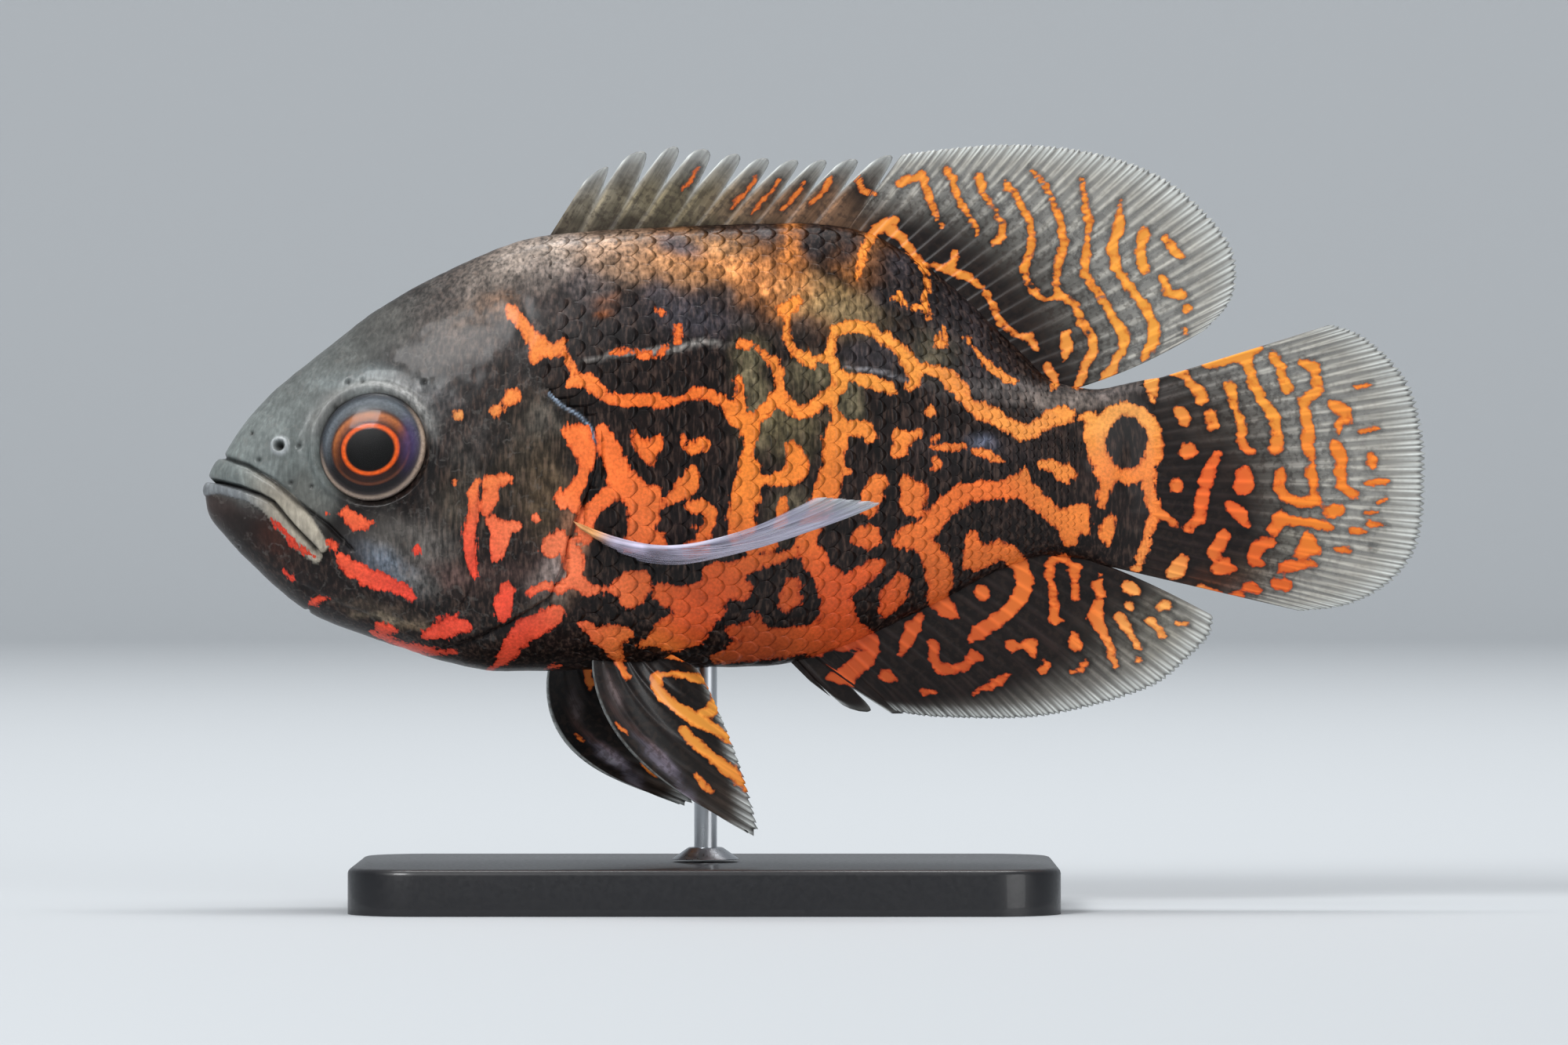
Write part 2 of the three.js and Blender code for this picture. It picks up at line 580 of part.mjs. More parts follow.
// Everything that grows out of the flesh is cut clear of it.
const aroundGillCovers = body(GILL_COVER.rise + GAP).intersect(across(outset(gillRegion, GAP)));
const clear = body(GAP).add(aroundGillCovers);
const cleared = (made) => largest(made.subtract(clear));
const flesh = divideFlesh();
const solids = {
  ...flesh,
  gill_cover_left: gillCover("left"),
  gill_cover_right: gillCover("right"),
  eye_left: onSkin(eyeProfile(), EYE.at, "left", 28),
  eye_right: onSkin(eyeProfile(), EYE.at, "right", 28),
  dorsal_fin_spiny: cleared(spinyDorsal()),
  dorsal_fin_soft: cleared(uprightFin(SOFT_DORSAL)),
  anal_fin_spiny: cleared(analSpines()),
  anal_fin_soft: cleared(uprightFin(ANAL_FIN)),
  tail_fin: cleared(uprightFin(TAIL_FIN)),
  pectoral_fin_left: cleared(pectoralFin("left")),
  pectoral_fin_right: cleared(pectoralFin("right")),
  pelvic_fin_left: cleared(pelvicFin(LEFT_PELVIC)),
  pelvic_fin_right: cleared(pelvicFin(RIGHT_PELVIC)),
  stand_base: standBase(),
  stand_rod: cleared(standRod()),
};

// Finishes, as [colour, roughness, metalness].
const FINISH = {
  flesh: [0x4a3228, 0.45, 0],
  head: [0x6b655f, 0.42, 0],
  eye: [0x1a1210, 0.08, 0],
  fin: [0x6e5a4a, 0.5, 0],
  clearFin: [0xb9b3c6, 0.4, 0],
  base: [0x1d1d1f, 0.4, 0],
  rod: [0xb8bbc0, 0.3, 1],
};
function finishOf(name) {
  if (name === "head" || name === "lower_jaw" || name.startsWith("gill")) return FINISH.head;
  if (name === "torso" || name === "tail_stalk") return FINISH.flesh;
  if (name.startsWith("eye")) return FINISH.eye;
  if (name.startsWith("pectoral")) return FINISH.clearFin;
  if (name === "stand_base") return FINISH.base;
  return name === "stand_rod" ? FINISH.rod : FINISH.fin;
}

const oscar = new THREE.Group();
oscar.name = "oscar_on_stand";
for (const [name, made] of Object.entries(solids)) {
  const [color, roughness, metalness] = finishOf(name);
  const material = new THREE.MeshStandardMaterial({ color, roughness, metalness });
  const mesh = new THREE.Mesh(geometryOf(made), material);
  mesh.name = name;
  oscar.add(mesh);
}

export default oscar;
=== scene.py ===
import math

import bpy
import numpy as np
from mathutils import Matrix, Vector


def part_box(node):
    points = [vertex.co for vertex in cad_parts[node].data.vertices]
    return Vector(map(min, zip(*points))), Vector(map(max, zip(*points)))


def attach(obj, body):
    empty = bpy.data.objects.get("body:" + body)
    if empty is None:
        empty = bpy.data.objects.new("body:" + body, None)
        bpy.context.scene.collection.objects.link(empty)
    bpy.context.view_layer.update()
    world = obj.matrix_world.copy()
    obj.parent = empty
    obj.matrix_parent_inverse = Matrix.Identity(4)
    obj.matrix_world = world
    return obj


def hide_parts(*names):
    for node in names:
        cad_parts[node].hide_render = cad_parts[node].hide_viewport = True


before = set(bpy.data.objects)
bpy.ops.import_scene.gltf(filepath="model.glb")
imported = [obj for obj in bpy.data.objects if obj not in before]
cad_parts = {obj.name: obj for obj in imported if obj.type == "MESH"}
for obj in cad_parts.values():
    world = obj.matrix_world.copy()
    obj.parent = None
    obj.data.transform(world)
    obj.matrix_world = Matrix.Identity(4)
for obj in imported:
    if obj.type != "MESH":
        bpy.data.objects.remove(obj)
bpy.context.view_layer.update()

# The studio: one round pale floor that curves up into a wall, in a plain pale room, with three soft lamps on
# the fish and two on the walls. The camera looks level along +Y at the fish's left side, from so far back
# that the frame spans 2000 photo pixels at the middle of the fish.
PX = 0.160 / 1556  # metres for one photo pixel: the fish is 160 mm and 1556 px long
ROD_X, PELVIC_TIP_Y = 900, 1060  # the photo pixels of the rod and of the lowest fin tip
PELVIC_TIP_Z = 0.010  # how high that tip hangs above the floor, in metres
FRAME_WIDE, FRAME_TALL = 2000, 1333
SENSOR, LENS = 36, 200  # mm


def linear(code):
    """A colour written as in paint shops, #RRGGBB, in the linear numbers that shaders take."""
    parts = np.array([int(code[i:i + 2], 16) / 255 for i in (1, 3, 5)])
    return np.where(parts <= 0.04045, parts / 12.92, ((parts + 0.055) / 1.055) ** 2.4)


def new_material(name, base, **finish):
    """A material with one physical shader, whose sockets take the finish. Gives it, its tree and shader."""
    material = bpy.data.materials.new(name)
    material.use_nodes = True
    shader = material.node_tree.nodes["Principled BSDF"]
    shader.inputs["Base Color"].default_value = (*linear(base), 1)
    for socket, value in finish.items():
        shader.inputs[socket.replace("_", " ")].default_value = value
    return material, material.node_tree, shader


def photo_point(x, y):
    """The place on the fish's middle plane that a photo pixel shows, in metres."""
    return (x - ROD_X) * PX, (PELVIC_TIP_Y - y) * PX + PELVIC_TIP_Z


centre_x, centre_z = photo_point(FRAME_WIDE / 2, FRAME_TALL / 2)
distance = FRAME_WIDE * PX * LENS / SENSOR
bpy.ops.object.camera_add(location=(centre_x, -distance, centre_z), rotation=(math.pi / 2, 0, 0))
camera = bpy.context.object
camera.data.lens, camera.data.sensor_width = LENS, SENSOR
camera.data.clip_start, camera.data.clip_end = 0.05, 60
bpy.context.scene.camera = camera

FLOOR_RADIUS, COVE_RADIUS, COVE_STEPS, WALL_HEIGHT = 2.6, 0.9, 16, 1.6
bpy.ops.mesh.primitive_circle_add(vertices=128, radius=FLOOR_RADIUS, fill_type="NGON", location=(0, 0, 0))
floor = bpy.context.object
floor.name = "studio_floor"
bpy.ops.object.mode_set(mode="EDIT")
bpy.ops.mesh.select_mode(type="EDGE")
radius, height = FLOOR_RADIUS, 0
for step in range(1, COVE_STEPS + 2):
    turn = min(step, COVE_STEPS) / COVE_STEPS * math.pi / 2
    wider = FLOOR_RADIUS + COVE_RADIUS * math.sin(turn)
    higher = COVE_RADIUS * (1 - math.cos(turn)) + (WALL_HEIGHT if step > COVE_STEPS else 0)
    bpy.ops.mesh.extrude_edges_move(TRANSFORM_OT_translate={"value": (0, 0, higher - height)})
    bpy.ops.transform.resize(value=(wider / radius, wider / radius, 1), center_override=(0, 0, 0))
    radius, height = wider, higher
bpy.ops.object.mode_set(mode="OBJECT")
bpy.ops.object.shade_smooth()

# Matt wall paint, rolled on: pale and even with hardly any gloss, so it only shows soft shadows.
painted_floor = new_material("painted_studio_floor", "#BEC2C5", Roughness=0.9, Specular_IOR_Level=0.1)[0]
floor.data.materials.append(painted_floor)

room = bpy.data.worlds.new("studio_room")
room.use_nodes = True
room.node_tree.nodes["Background"].inputs["Color"].default_value = (*linear("#DDE2EA"), 1)
room.node_tree.nodes["Background"].inputs["Strength"].default_value = 0.4
bpy.context.scene.world = room
bpy.context.scene.view_settings.view_transform = "Standard"

LAMPS = {  # place, aim, size in metres, watts
    "key": ((-0.5, -0.8, 0.75), (0, 0, 0.055), 0.4, 10),
    "fill": ((0.8, -0.9, 0.35), (0, 0, 0.055), 0.7, 4.6),
    "top": ((0.1, 0.15, 0.8), (0, 0, 0.055), 0.5, 1.9),
    "far_wall": ((0.0, 0.5, 1.9), (0, 3.5, 0.2), 1.2, 50),
    "near_wall": ((0.0, -0.5, 1.9), (0, -3.5, 0.2), 1.2, 7),
}
for lamp, (place, aim, size, power) in LAMPS.items():
    bpy.ops.object.light_add(type="AREA", location=place)
    light = bpy.context.object
    light.name = lamp + "_light"
    light.data.size, light.data.energy = size, power
    aim = np.array(aim) - np.array(place)
    turn = math.atan2(aim[1], aim[0])
    light.rotation_euler = (math.acos(-aim[2] / np.linalg.norm(aim)), 0, turn - math.pi / 2)

# The shape of the body, which skin and scales share: sections across the fish whose top, bottom and width
# follow smooth lines, as a fish's flesh does. Lines are [distance behind the snout, height above the axis]
# in mm.
SNOUT_X, AXIS_Z, BODY_LENGTH = -65.6, 55.8, 126.3
BACK_LINE = [
    [0, -1.3], [0.8, 0.8], [2.4, 3.6], [3.9, 6], [8, 11], [14.2, 16.2], [22.4, 22.5], [30.6, 27.2],
    [38.9, 30.8], [44, 32.3], [60.5, 33.5], [79, 34], [86.2, 33], [91.3, 30.6], [96.5, 27], [106.7, 17.4],
    [111.4, 13.2], [117, 12.2], [121.1, 13], [126.3, 14],
]
BELLY_LINE = [
    [0, -1.7], [0.4, -4.1], [2.4, -7], [6, -10.8], [10.1, -14.6], [14.2, -17.5], [24.5, -21.4],
    [30.6, -23.4], [38.9, -24.9], [55.3, -24.6], [73.8, -24.2], [80, -22.9], [86.2, -20.6], [96.5, -15.7],
    [104.7, -11.5], [110.5, -9.8], [115, -10.3], [120.1, -11.8], [126.3, -13.8],
]
HALF_WIDTH = [
    [0, 0.9], [0.4, 2.4], [1.5, 3.6], [3.9, 5.2], [9, 7.2], [16, 9], [22.7, 10.1], [30.6, 11.2], [40, 12.2],
    [51, 12.6], [61.5, 12.2], [72, 11], [82, 9.4], [92.4, 7.5], [102.6, 5.8], [110.8, 4.6], [117, 3.6],
    [122, 2.2], [126.3, 0.9],
]
WIDEST_HEIGHT = [
    [0, -1.6], [4, -2.2], [10, -3.4], [22.7, -4.5], [40, -2], [51, 0], [61.5, 1.5], [72, 2], [92.4, 3.4],
    [110.8, 1.5], [126.3, 0.2],
]
BACK_FULLNESS = [[0, 2.2], [10, 2], [30, 1.9], [50, 1.9], [80, 1.75], [100, 1.6], [115, 1.9], [126.3, 2]]
BELLY_FULLNESS = [[0, 2.2], [10, 2.1], [30, 2.2], [60, 2.3], [80, 1.8], [100, 1.6], [115, 1.9], [126.3, 2]]


def curve_through(points):
    """A smooth curve through named points, sloped against the root of distance so the snout stays blunt."""
    d, h = np.array(points, float).T
    q = np.sqrt(d)
    secant = np.diff(h) / np.diff(q)
    slope = np.zeros(len(q))
    slope[0], slope[-1] = secant[0], secant[-1]
    a, b = secant[:-1], secant[1:]
    agree = a * b > 0
    slope[1:-1][agree] = 2 * a[agree] * b[agree] / (a[agree] + b[agree])

    def value(at):
        root = np.sqrt(np.maximum(at, 0))
        i = np.clip(np.searchsorted(q, root, side="right") - 1, 0, len(q) - 2)
        width = q[i + 1] - q[i]
        t = np.clip((root - q[i]) / width, 0, 1)
        start = h[i] * (1 + 2 * t) * (1 - t) ** 2 + slope[i] * width * t * (1 - t) ** 2
        return start + h[i + 1] * t * t * (3 - 2 * t) + slope[i + 1] * width * t * t * (t - 1)

    return value


back, belly, half_width = curve_through(BACK_LINE), curve_through(BELLY_LINE), curve_through(HALF_WIDTH)
widest, back_full, belly_full = (curve_through(p) for p in (WIDEST_HEIGHT, BACK_FULLNESS, BELLY_FULLNESS))


def section_point(s, angle):
    """Across and height of the skin at an angle round the section: 0 at the left side, a quarter turn at the
    back."""
    c, up = np.cos(angle), np.sin(angle)
    middle = widest(s)
    tall = np.where(up > 0, back(s) - middle, middle - belly(s))
    power = 2 / np.where(up > 0, back_full(s), belly_full(s))
    y = -half_width(s) * np.sign(c) * np.abs(c) ** power
    return y, middle + tall * np.sign(up) * np.abs(up) ** power


SLOPE_STEP, READ_OUT_TO = 0.02, 3  # mm along the body, and how far outside a section it is still read


def outward(s, y, h):
    """The direction straight out of the skin at a place on it."""
    def section(at):
        middle = widest(at)
        above = h > middle
        tall = np.where(above, back(at) - middle, middle - belly(at))
        power = np.where(above, back_full(at), belly_full(at))
        wide = np.minimum(np.abs(y) / half_width(at), READ_OUT_TO)
        rise = np.minimum(np.abs(h - middle) / tall, READ_OUT_TO)
        return wide, rise, power, tall, above

    def level(at):
        wide, rise, power = section(at)[:3]
        return wide ** power + rise ** power

    wide, rise, power, tall, above = section(s)
    along = (level(s + SLOPE_STEP) - level(np.maximum(s - SLOPE_STEP, 0))) / (2 * SLOPE_STEP)
    across = np.sign(y) * power * np.maximum(wide, 1e-6) ** (power - 1) / half_width(s)
    height = np.where(above, 1, -1) * power * np.maximum(rise, 1e-6) ** (power - 1) / tall
    n = np.stack([along, across, height], axis=-1)
    return n / np.maximum(np.linalg.norm(n, axis=-1, keepdims=True), 1e-9)


# Even spacing round the section: the share of girth, 0 at the belly, 0.5 at the back, 1 at the belly again.
STATION_COUNT, SHARE_COUNT = 160, 257
GIRTH_STATIONS = BODY_LENGTH * np.linspace(0, 1, STATION_COUNT) ** 2
half_turn = np.linspace(-math.pi / 2, math.pi / 2, 721)
ys, hs = section_point(GIRTH_STATIONS[:, None], half_turn[None, :])
arcs = np.cumsum(np.hypot(np.diff(ys, axis=1), np.diff(hs, axis=1)), axis=1)
arcs = np.concatenate([np.zeros((len(arcs), 1)), arcs], axis=1)
half_girth = arcs[:, -1]
even_shares = np.linspace(0, 1, SHARE_COUNT)
even_angles = np.array([np.interp(even_shares, a / a[-1], half_turn) for a in arcs])


def angle_at(s, share):
    """The angle round the section at a share of the girth."""
    half = np.where(share <= 0.5, share, 1 - share) * 2
    along = np.sqrt(np.clip(s, 0, BODY_LENGTH) / BODY_LENGTH)
    row = np.clip(along * (STATION_COUNT - 1), 0, STATION_COUNT - 1.001)
    column = np.clip(half, 0, 1) * (SHARE_COUNT - 1.001)
    i, j = row.astype(int), column.astype(int)
    a, b = row - i, column - j
    low = even_angles[i, j] * (1 - b) + even_angles[i, j + 1] * b
    high = even_angles[i + 1, j] * (1 - b) + even_angles[i + 1, j + 1] * b
    angle = low * (1 - a) + high * a
    return np.where(share <= 0.5, angle, math.pi - angle)


def on_body(s, share, lift=0.0):
    """A place on the body at a distance behind the snout and a share of the girth, lifted off it, in mm."""
    y, h = section_point(s, angle_at(s, share))
    place = np.stack([SNOUT_X + s, y, AXIS_Z + h], axis=-1)
    return place + outward(s, y, h) * np.asarray(lift)[..., None]


# The markings, which skin, scales and fins share. An oscar is near black, marbled in orange that runs from
# coral on the head to amber on the fins, with a ringed eye-spot on the tail stalk and a grey head and back.
# Each mark is a brush stroke read off the photo: pixel across, pixel down and half width in pixels.
HEAD_MARKS = [
    [(445, 653, 8), (459, 667, 10), (471, 669, 8), (479, 668, 4)],
    [(439, 712, 8), (452, 724, 11), (475, 737, 12), (500, 746, 10), (518, 752, 9), (528, 762, 7)],
    [(534, 701, 5), (537, 708, 4)],
    [(612, 618, 4), (607, 632, 8), (610, 648, 6), (604, 668, 8), (602, 688, 9), (606, 710, 8),
     (610, 734, 4)], [(626, 616, 9), (642, 613, 9), (652, 612, 7)], [(630, 632, 11), (624, 648, 8)],
    [(630, 666, 9), (642, 678, 12), (638, 696, 11), (636, 709, 9)], [(644, 674, 11), (662, 669, 8)],
    [(687, 663, 6)], [(584, 615, 4)], [(650, 754, 11), (646, 770, 13), (644, 781, 10)],
    [(538, 809, 6), (552, 806, 9), (571, 801, 11), (593, 796, 9)], [(560, 788, 2), (588, 782, 2)],
    [(473, 805, 3), (498, 818, 4), (527, 827, 6), (549, 832, 5), (572, 831, 3)],
    [(715, 780, 10), (694, 792, 13), (664, 806, 13), (644, 822, 12), (632, 838, 11), (622, 850, 5)],
    [(703, 849, 3), (690, 853, 2)],
    [(353, 662, 3), (364, 676, 4), (378, 691, 5), (392, 702, 5), (402, 708, 3)],
    [(424, 691, 5), (431, 699, 5)], [(588, 531, 8)], [(638, 526, 8)], [(656, 508, 12)], [(423, 656, 3)],
    [(367, 728, 4), (376, 738, 4)], [(402, 768, 6), (418, 764, 4)], [(486, 800, 9), (498, 803, 7)],
    [(706, 698, 13), (717, 684, 9)], [(717, 684, 9), (735, 712, 14), (735, 737, 11), (717, 752, 7)],
    [(717, 752, 7), (699, 745, 6), (678, 755, 5)], [(735, 737, 11), (753, 752, 8), (772, 751, 5)],
]
FLANK_MARKS = [
    [(655, 398, 8), (668, 414, 9), (680, 430, 9), (692, 445, 13), (706, 449, 9), (716, 446, 9),
     (721, 437, 4)], [(690, 450, 10), (684, 463, 5)],
    [(718, 448, 7), (727, 460, 5), (734, 476, 5), (738, 488, 7), (752, 487, 11), (764, 498, 9),
     (778, 509, 8), (800, 513, 8), (828, 514, 9), (850, 513, 7), (866, 513, 4), (880, 506, 6),
     (893, 503, 8), (908, 506, 8), (922, 514, 9), (936, 526, 11), (948, 540, 14), (957, 552, 13),
     (955, 568, 7), (952, 582, 7), (957, 598, 15), (955, 618, 19), (950, 640, 18), (945, 662, 18),
     (948, 684, 18), (960, 701, 12)], [(738, 488, 7), (728, 492, 5)],
    [(957, 550, 12), (966, 533, 8), (980, 522, 7), (992, 511, 11), (1006, 520, 10), (1022, 528, 9),
     (1036, 522, 9), (1046, 512, 9), (1056, 505, 8), (1063, 499, 7)],
    [(1060, 505, 7), (1062, 522, 5), (1068, 540, 8), (1085, 548, 11), (1102, 548, 11), (1110, 560, 9)],
    [(1068, 540, 10), (1064, 558, 15), (1062, 578, 14), (1062, 600, 15), (1056, 622, 17), (1045, 644, 16),
     (1036, 668, 14), (1028, 692, 13), (1040, 716, 16), (1056, 740, 19), (1066, 762, 21), (1068, 786, 24),
     (1074, 808, 24)], [(1064, 558, 13), (1078, 572, 6)],
    [(1055, 600, 10), (1072, 600, 7), (1083, 603, 4)],
    [(1066, 756, 15), (1084, 744, 14), (1100, 733, 12), (1114, 723, 10), (1122, 717, 6)],
    [(1075, 804, 20), (1050, 812, 19), (1020, 816, 18), (990, 820, 20), (962, 822, 20), (940, 829, 16),
     (918, 836, 11), (903, 838, 6)], [(930, 806, 9), (962, 803, 14)], [(1030, 826, 12), (1046, 832, 8)],
    [(1075, 804, 18), (1094, 812, 16), (1108, 818, 11), (1112, 830, 9), (1102, 842, 13), (1088, 854, 13),
     (1074, 864, 11), (1058, 866, 5)], [(1076, 862, 10), (1084, 870, 5)],
    [(812, 556, 6), (818, 568, 9), (828, 582, 10), (838, 568, 10), (842, 560, 5)],
    [(828, 582, 9), (833, 592, 5)],
    [(872, 560, 5), (880, 572, 7), (888, 577, 6), (897, 567, 8), (902, 572, 4)],
    [(884, 602, 8), (880, 618, 14), (868, 630, 12), (857, 638, 7)],
    [(884, 646, 9), (898, 647, 9), (907, 652, 9), (906, 668, 8), (898, 684, 9)],
    [(948, 440, 10), (955, 446, 6)],
    [(963, 444, 4), (976, 453, 6), (988, 465, 7), (994, 480, 7), (995, 497, 8), (996, 508, 9)],
    [(943, 482, 4), (943, 496, 6), (945, 510, 7), (945, 525, 8)],
    [(992, 392, 3), (1001, 399, 8), (1010, 393, 8), (1016, 382, 6)],
    [(1003, 405, 5), (1003, 425, 5), (1007, 442, 6), (1014, 452, 6), (1024, 456, 9), (1034, 464, 8),
     (1038, 470, 5)],
    [(1043, 458, 4), (1055, 457, 7), (1062, 462, 8), (1068, 478, 9), (1072, 490, 10), (1066, 500, 7)],
    [(1060, 450, 6), (1061, 435, 6), (1065, 423, 8), (1080, 418, 8), (1098, 419, 8), (1116, 427, 8),
     (1134, 437, 9), (1150, 449, 9), (1160, 463, 9), (1166, 476, 10), (1164, 489, 8), (1158, 494, 5)],
    [(1068, 480, 8), (1083, 481, 4), (1098, 484, 9), (1116, 490, 9), (1134, 498, 9)],
    [(1166, 476, 9), (1180, 470, 7), (1194, 473, 8), (1207, 482, 11), (1220, 495, 11), (1231, 510, 8),
     (1240, 520, 9), (1256, 527, 11), (1272, 533, 10), (1288, 545, 10), (1304, 552, 11), (1314, 554, 9),
     (1326, 541, 9), (1340, 533, 10), (1354, 530, 12), (1363, 530, 8)],
    [(1233, 432, 4), (1241, 444, 3), (1252, 458, 5), (1266, 471, 7), (1280, 482, 7), (1292, 488, 4)],
    [(1203, 418, 3), (1203, 440, 4)], [(1195, 430, 4), (1196, 442, 5)], [(1187, 525, 7)],
    [(1148, 560, 12), (1146, 574, 11)], [(1152, 562, 10), (1168, 555, 6), (1172, 550, 4)],
    [(1193, 592, 8)], [(1190, 573, 3), (1210, 571, 5), (1226, 570, 5)],
    [(1188, 570, 3), (1194, 558, 3), (1200, 552, 2)],
    [(1240, 576, 4), (1255, 580, 7), (1268, 585, 6), (1278, 589, 3)],
    [(1326, 592, 5), (1340, 595, 9), (1354, 600, 10), (1364, 604, 8)], [(1350, 605, 8), (1360, 614, 5)],
    [(1119, 614, 11), (1113, 630, 14), (1107, 647, 12)],
    [(1156, 618, 12), (1165, 632, 18), (1162, 643, 15), (1170, 653, 8)],
    [(1110, 683, 14), (1094, 684, 11), (1106, 692, 10)],
    [(1145, 690, 10), (1158, 686, 15), (1176, 678, 15), (1190, 668, 14), (1200, 652, 14), (1212, 639, 14),
     (1228, 630, 13), (1248, 627, 13), (1268, 626, 13), (1288, 624, 14), (1303, 613, 10), (1306, 602, 5)],
    [(1302, 622, 14), (1318, 636, 13), (1332, 647, 12), (1346, 660, 11), (1362, 667, 18), (1374, 660, 16),
     (1380, 650, 9)], [(1362, 670, 17), (1364, 684, 11), (1362, 694, 5)],
    [(1374, 666, 16), (1384, 672, 9)],
    [(1176, 694, 12), (1188, 708, 15), (1197, 724, 18), (1200, 742, 16), (1194, 760, 14), (1206, 775, 11),
     (1215, 784, 7)],
    [(1238, 686, 8), (1242, 702, 14), (1238, 718, 11), (1252, 712, 13), (1270, 702, 14), (1287, 704, 12),
     (1300, 720, 11), (1307, 742, 11), (1301, 762, 11), (1287, 780, 10), (1266, 795, 9), (1248, 807, 11),
     (1240, 814, 6)], [(1253, 756, 11)], [(1148, 742, 12), (1140, 758, 16), (1130, 774, 12)],
    [(1175, 786, 5), (1165, 802, 10), (1155, 820, 9), (1148, 836, 4)], [(1129, 861, 9), (1136, 866, 6)],
    [(728, 552, 9), (742, 560, 17), (750, 578, 14), (750, 595, 8), (745, 612, 8), (735, 628, 11),
     (722, 640, 10)], [(735, 640, 10), (742, 655, 6)], [(718, 628, 5), (720, 640, 9)],
    [(772, 552, 10), (778, 570, 14), (786, 590, 15), (793, 607, 15), (790, 624, 14), (775, 636, 11),
     (760, 647, 10), (750, 662, 12), (748, 684, 11)],
    [(793, 607, 15), (808, 624, 18), (820, 642, 20), (824, 662, 19), (818, 682, 17), (808, 697, 11)],
    [(834, 628, 10), (840, 646, 8)], [(840, 688, 10), (846, 700, 7)], [(880, 700, 12), (896, 698, 10)],
    [(886, 672, 4)], [(790, 750, 11), (806, 746, 17), (818, 742, 15), (812, 760, 14), (802, 768, 9)],
    [(846, 756, 13), (868, 764, 18), (892, 764, 21), (914, 755, 20), (936, 742, 17), (946, 752, 14)],
    [(908, 734, 14), (938, 729, 14), (962, 718, 10), (990, 711, 7), (1012, 705, 6)],
    [(908, 775, 18), (888, 790, 20), (866, 798, 18), (846, 806, 15), (826, 815, 10), (808, 820, 5)],
    [(888, 790, 18), (876, 808, 16), (858, 818, 12), (838, 824, 7)], [(962, 783, 5), (966, 790, 5)],
    [(1012, 747, 11), (1008, 760, 13), (1001, 773, 9)], [(1018, 764, 8)],
    [(745, 798, 8), (758, 811, 13), (776, 810, 14), (792, 806, 9)],
    [(768, 818, 12), (774, 832, 10), (781, 846, 6)], [(1000, 640, 6), (997, 655, 8), (992, 674, 8)],
    [(965, 690, 12), (984, 694, 9)],
    [(1008, 568, 6), (1014, 580, 12), (1018, 598, 14), (1008, 610, 12), (990, 612, 8), (972, 614, 6)],
    [(782, 452, 3), (797, 450, 5)], [(812, 452, 5), (828, 454, 7)], [(842, 455, 4), (850, 448, 5)],
    [(866, 420, 5), (866, 438, 5)], [(838, 396, 3), (846, 402, 4)],
    [(1138, 382, 5), (1146, 376, 5), (1152, 388, 4)], [(1165, 394, 4), (1182, 395, 4), (1186, 405, 3)],
]
EYE_SPOT_RING = [
    [(1474, 566, 10), (1469, 545, 10), (1455, 527, 9), (1436, 520, 9), (1417, 527, 10), (1403, 545, 12),
     (1398, 566, 12), (1403, 587, 12), (1417, 604, 10), (1436, 611, 9), (1455, 604, 10), (1469, 587, 11),
     (1474, 566, 10)],
    [(1384, 532, 7), (1400, 538, 10)], [(1388, 545, 8), (1394, 580, 9)],
    [(1404, 598, 10), (1411, 614, 11), (1408, 628, 9), (1404, 642, 6)],
    [(1464, 602, 10), (1464, 620, 10), (1470, 638, 9), (1476, 654, 8), (1468, 668, 9), (1462, 686, 7),
     (1458, 704, 6), (1453, 720, 6), (1446, 727, 4)],
    [(1478, 655, 8), (1490, 664, 6), (1500, 670, 4)], [(1414, 664, 9), (1410, 680, 10), (1412, 690, 6)],
]
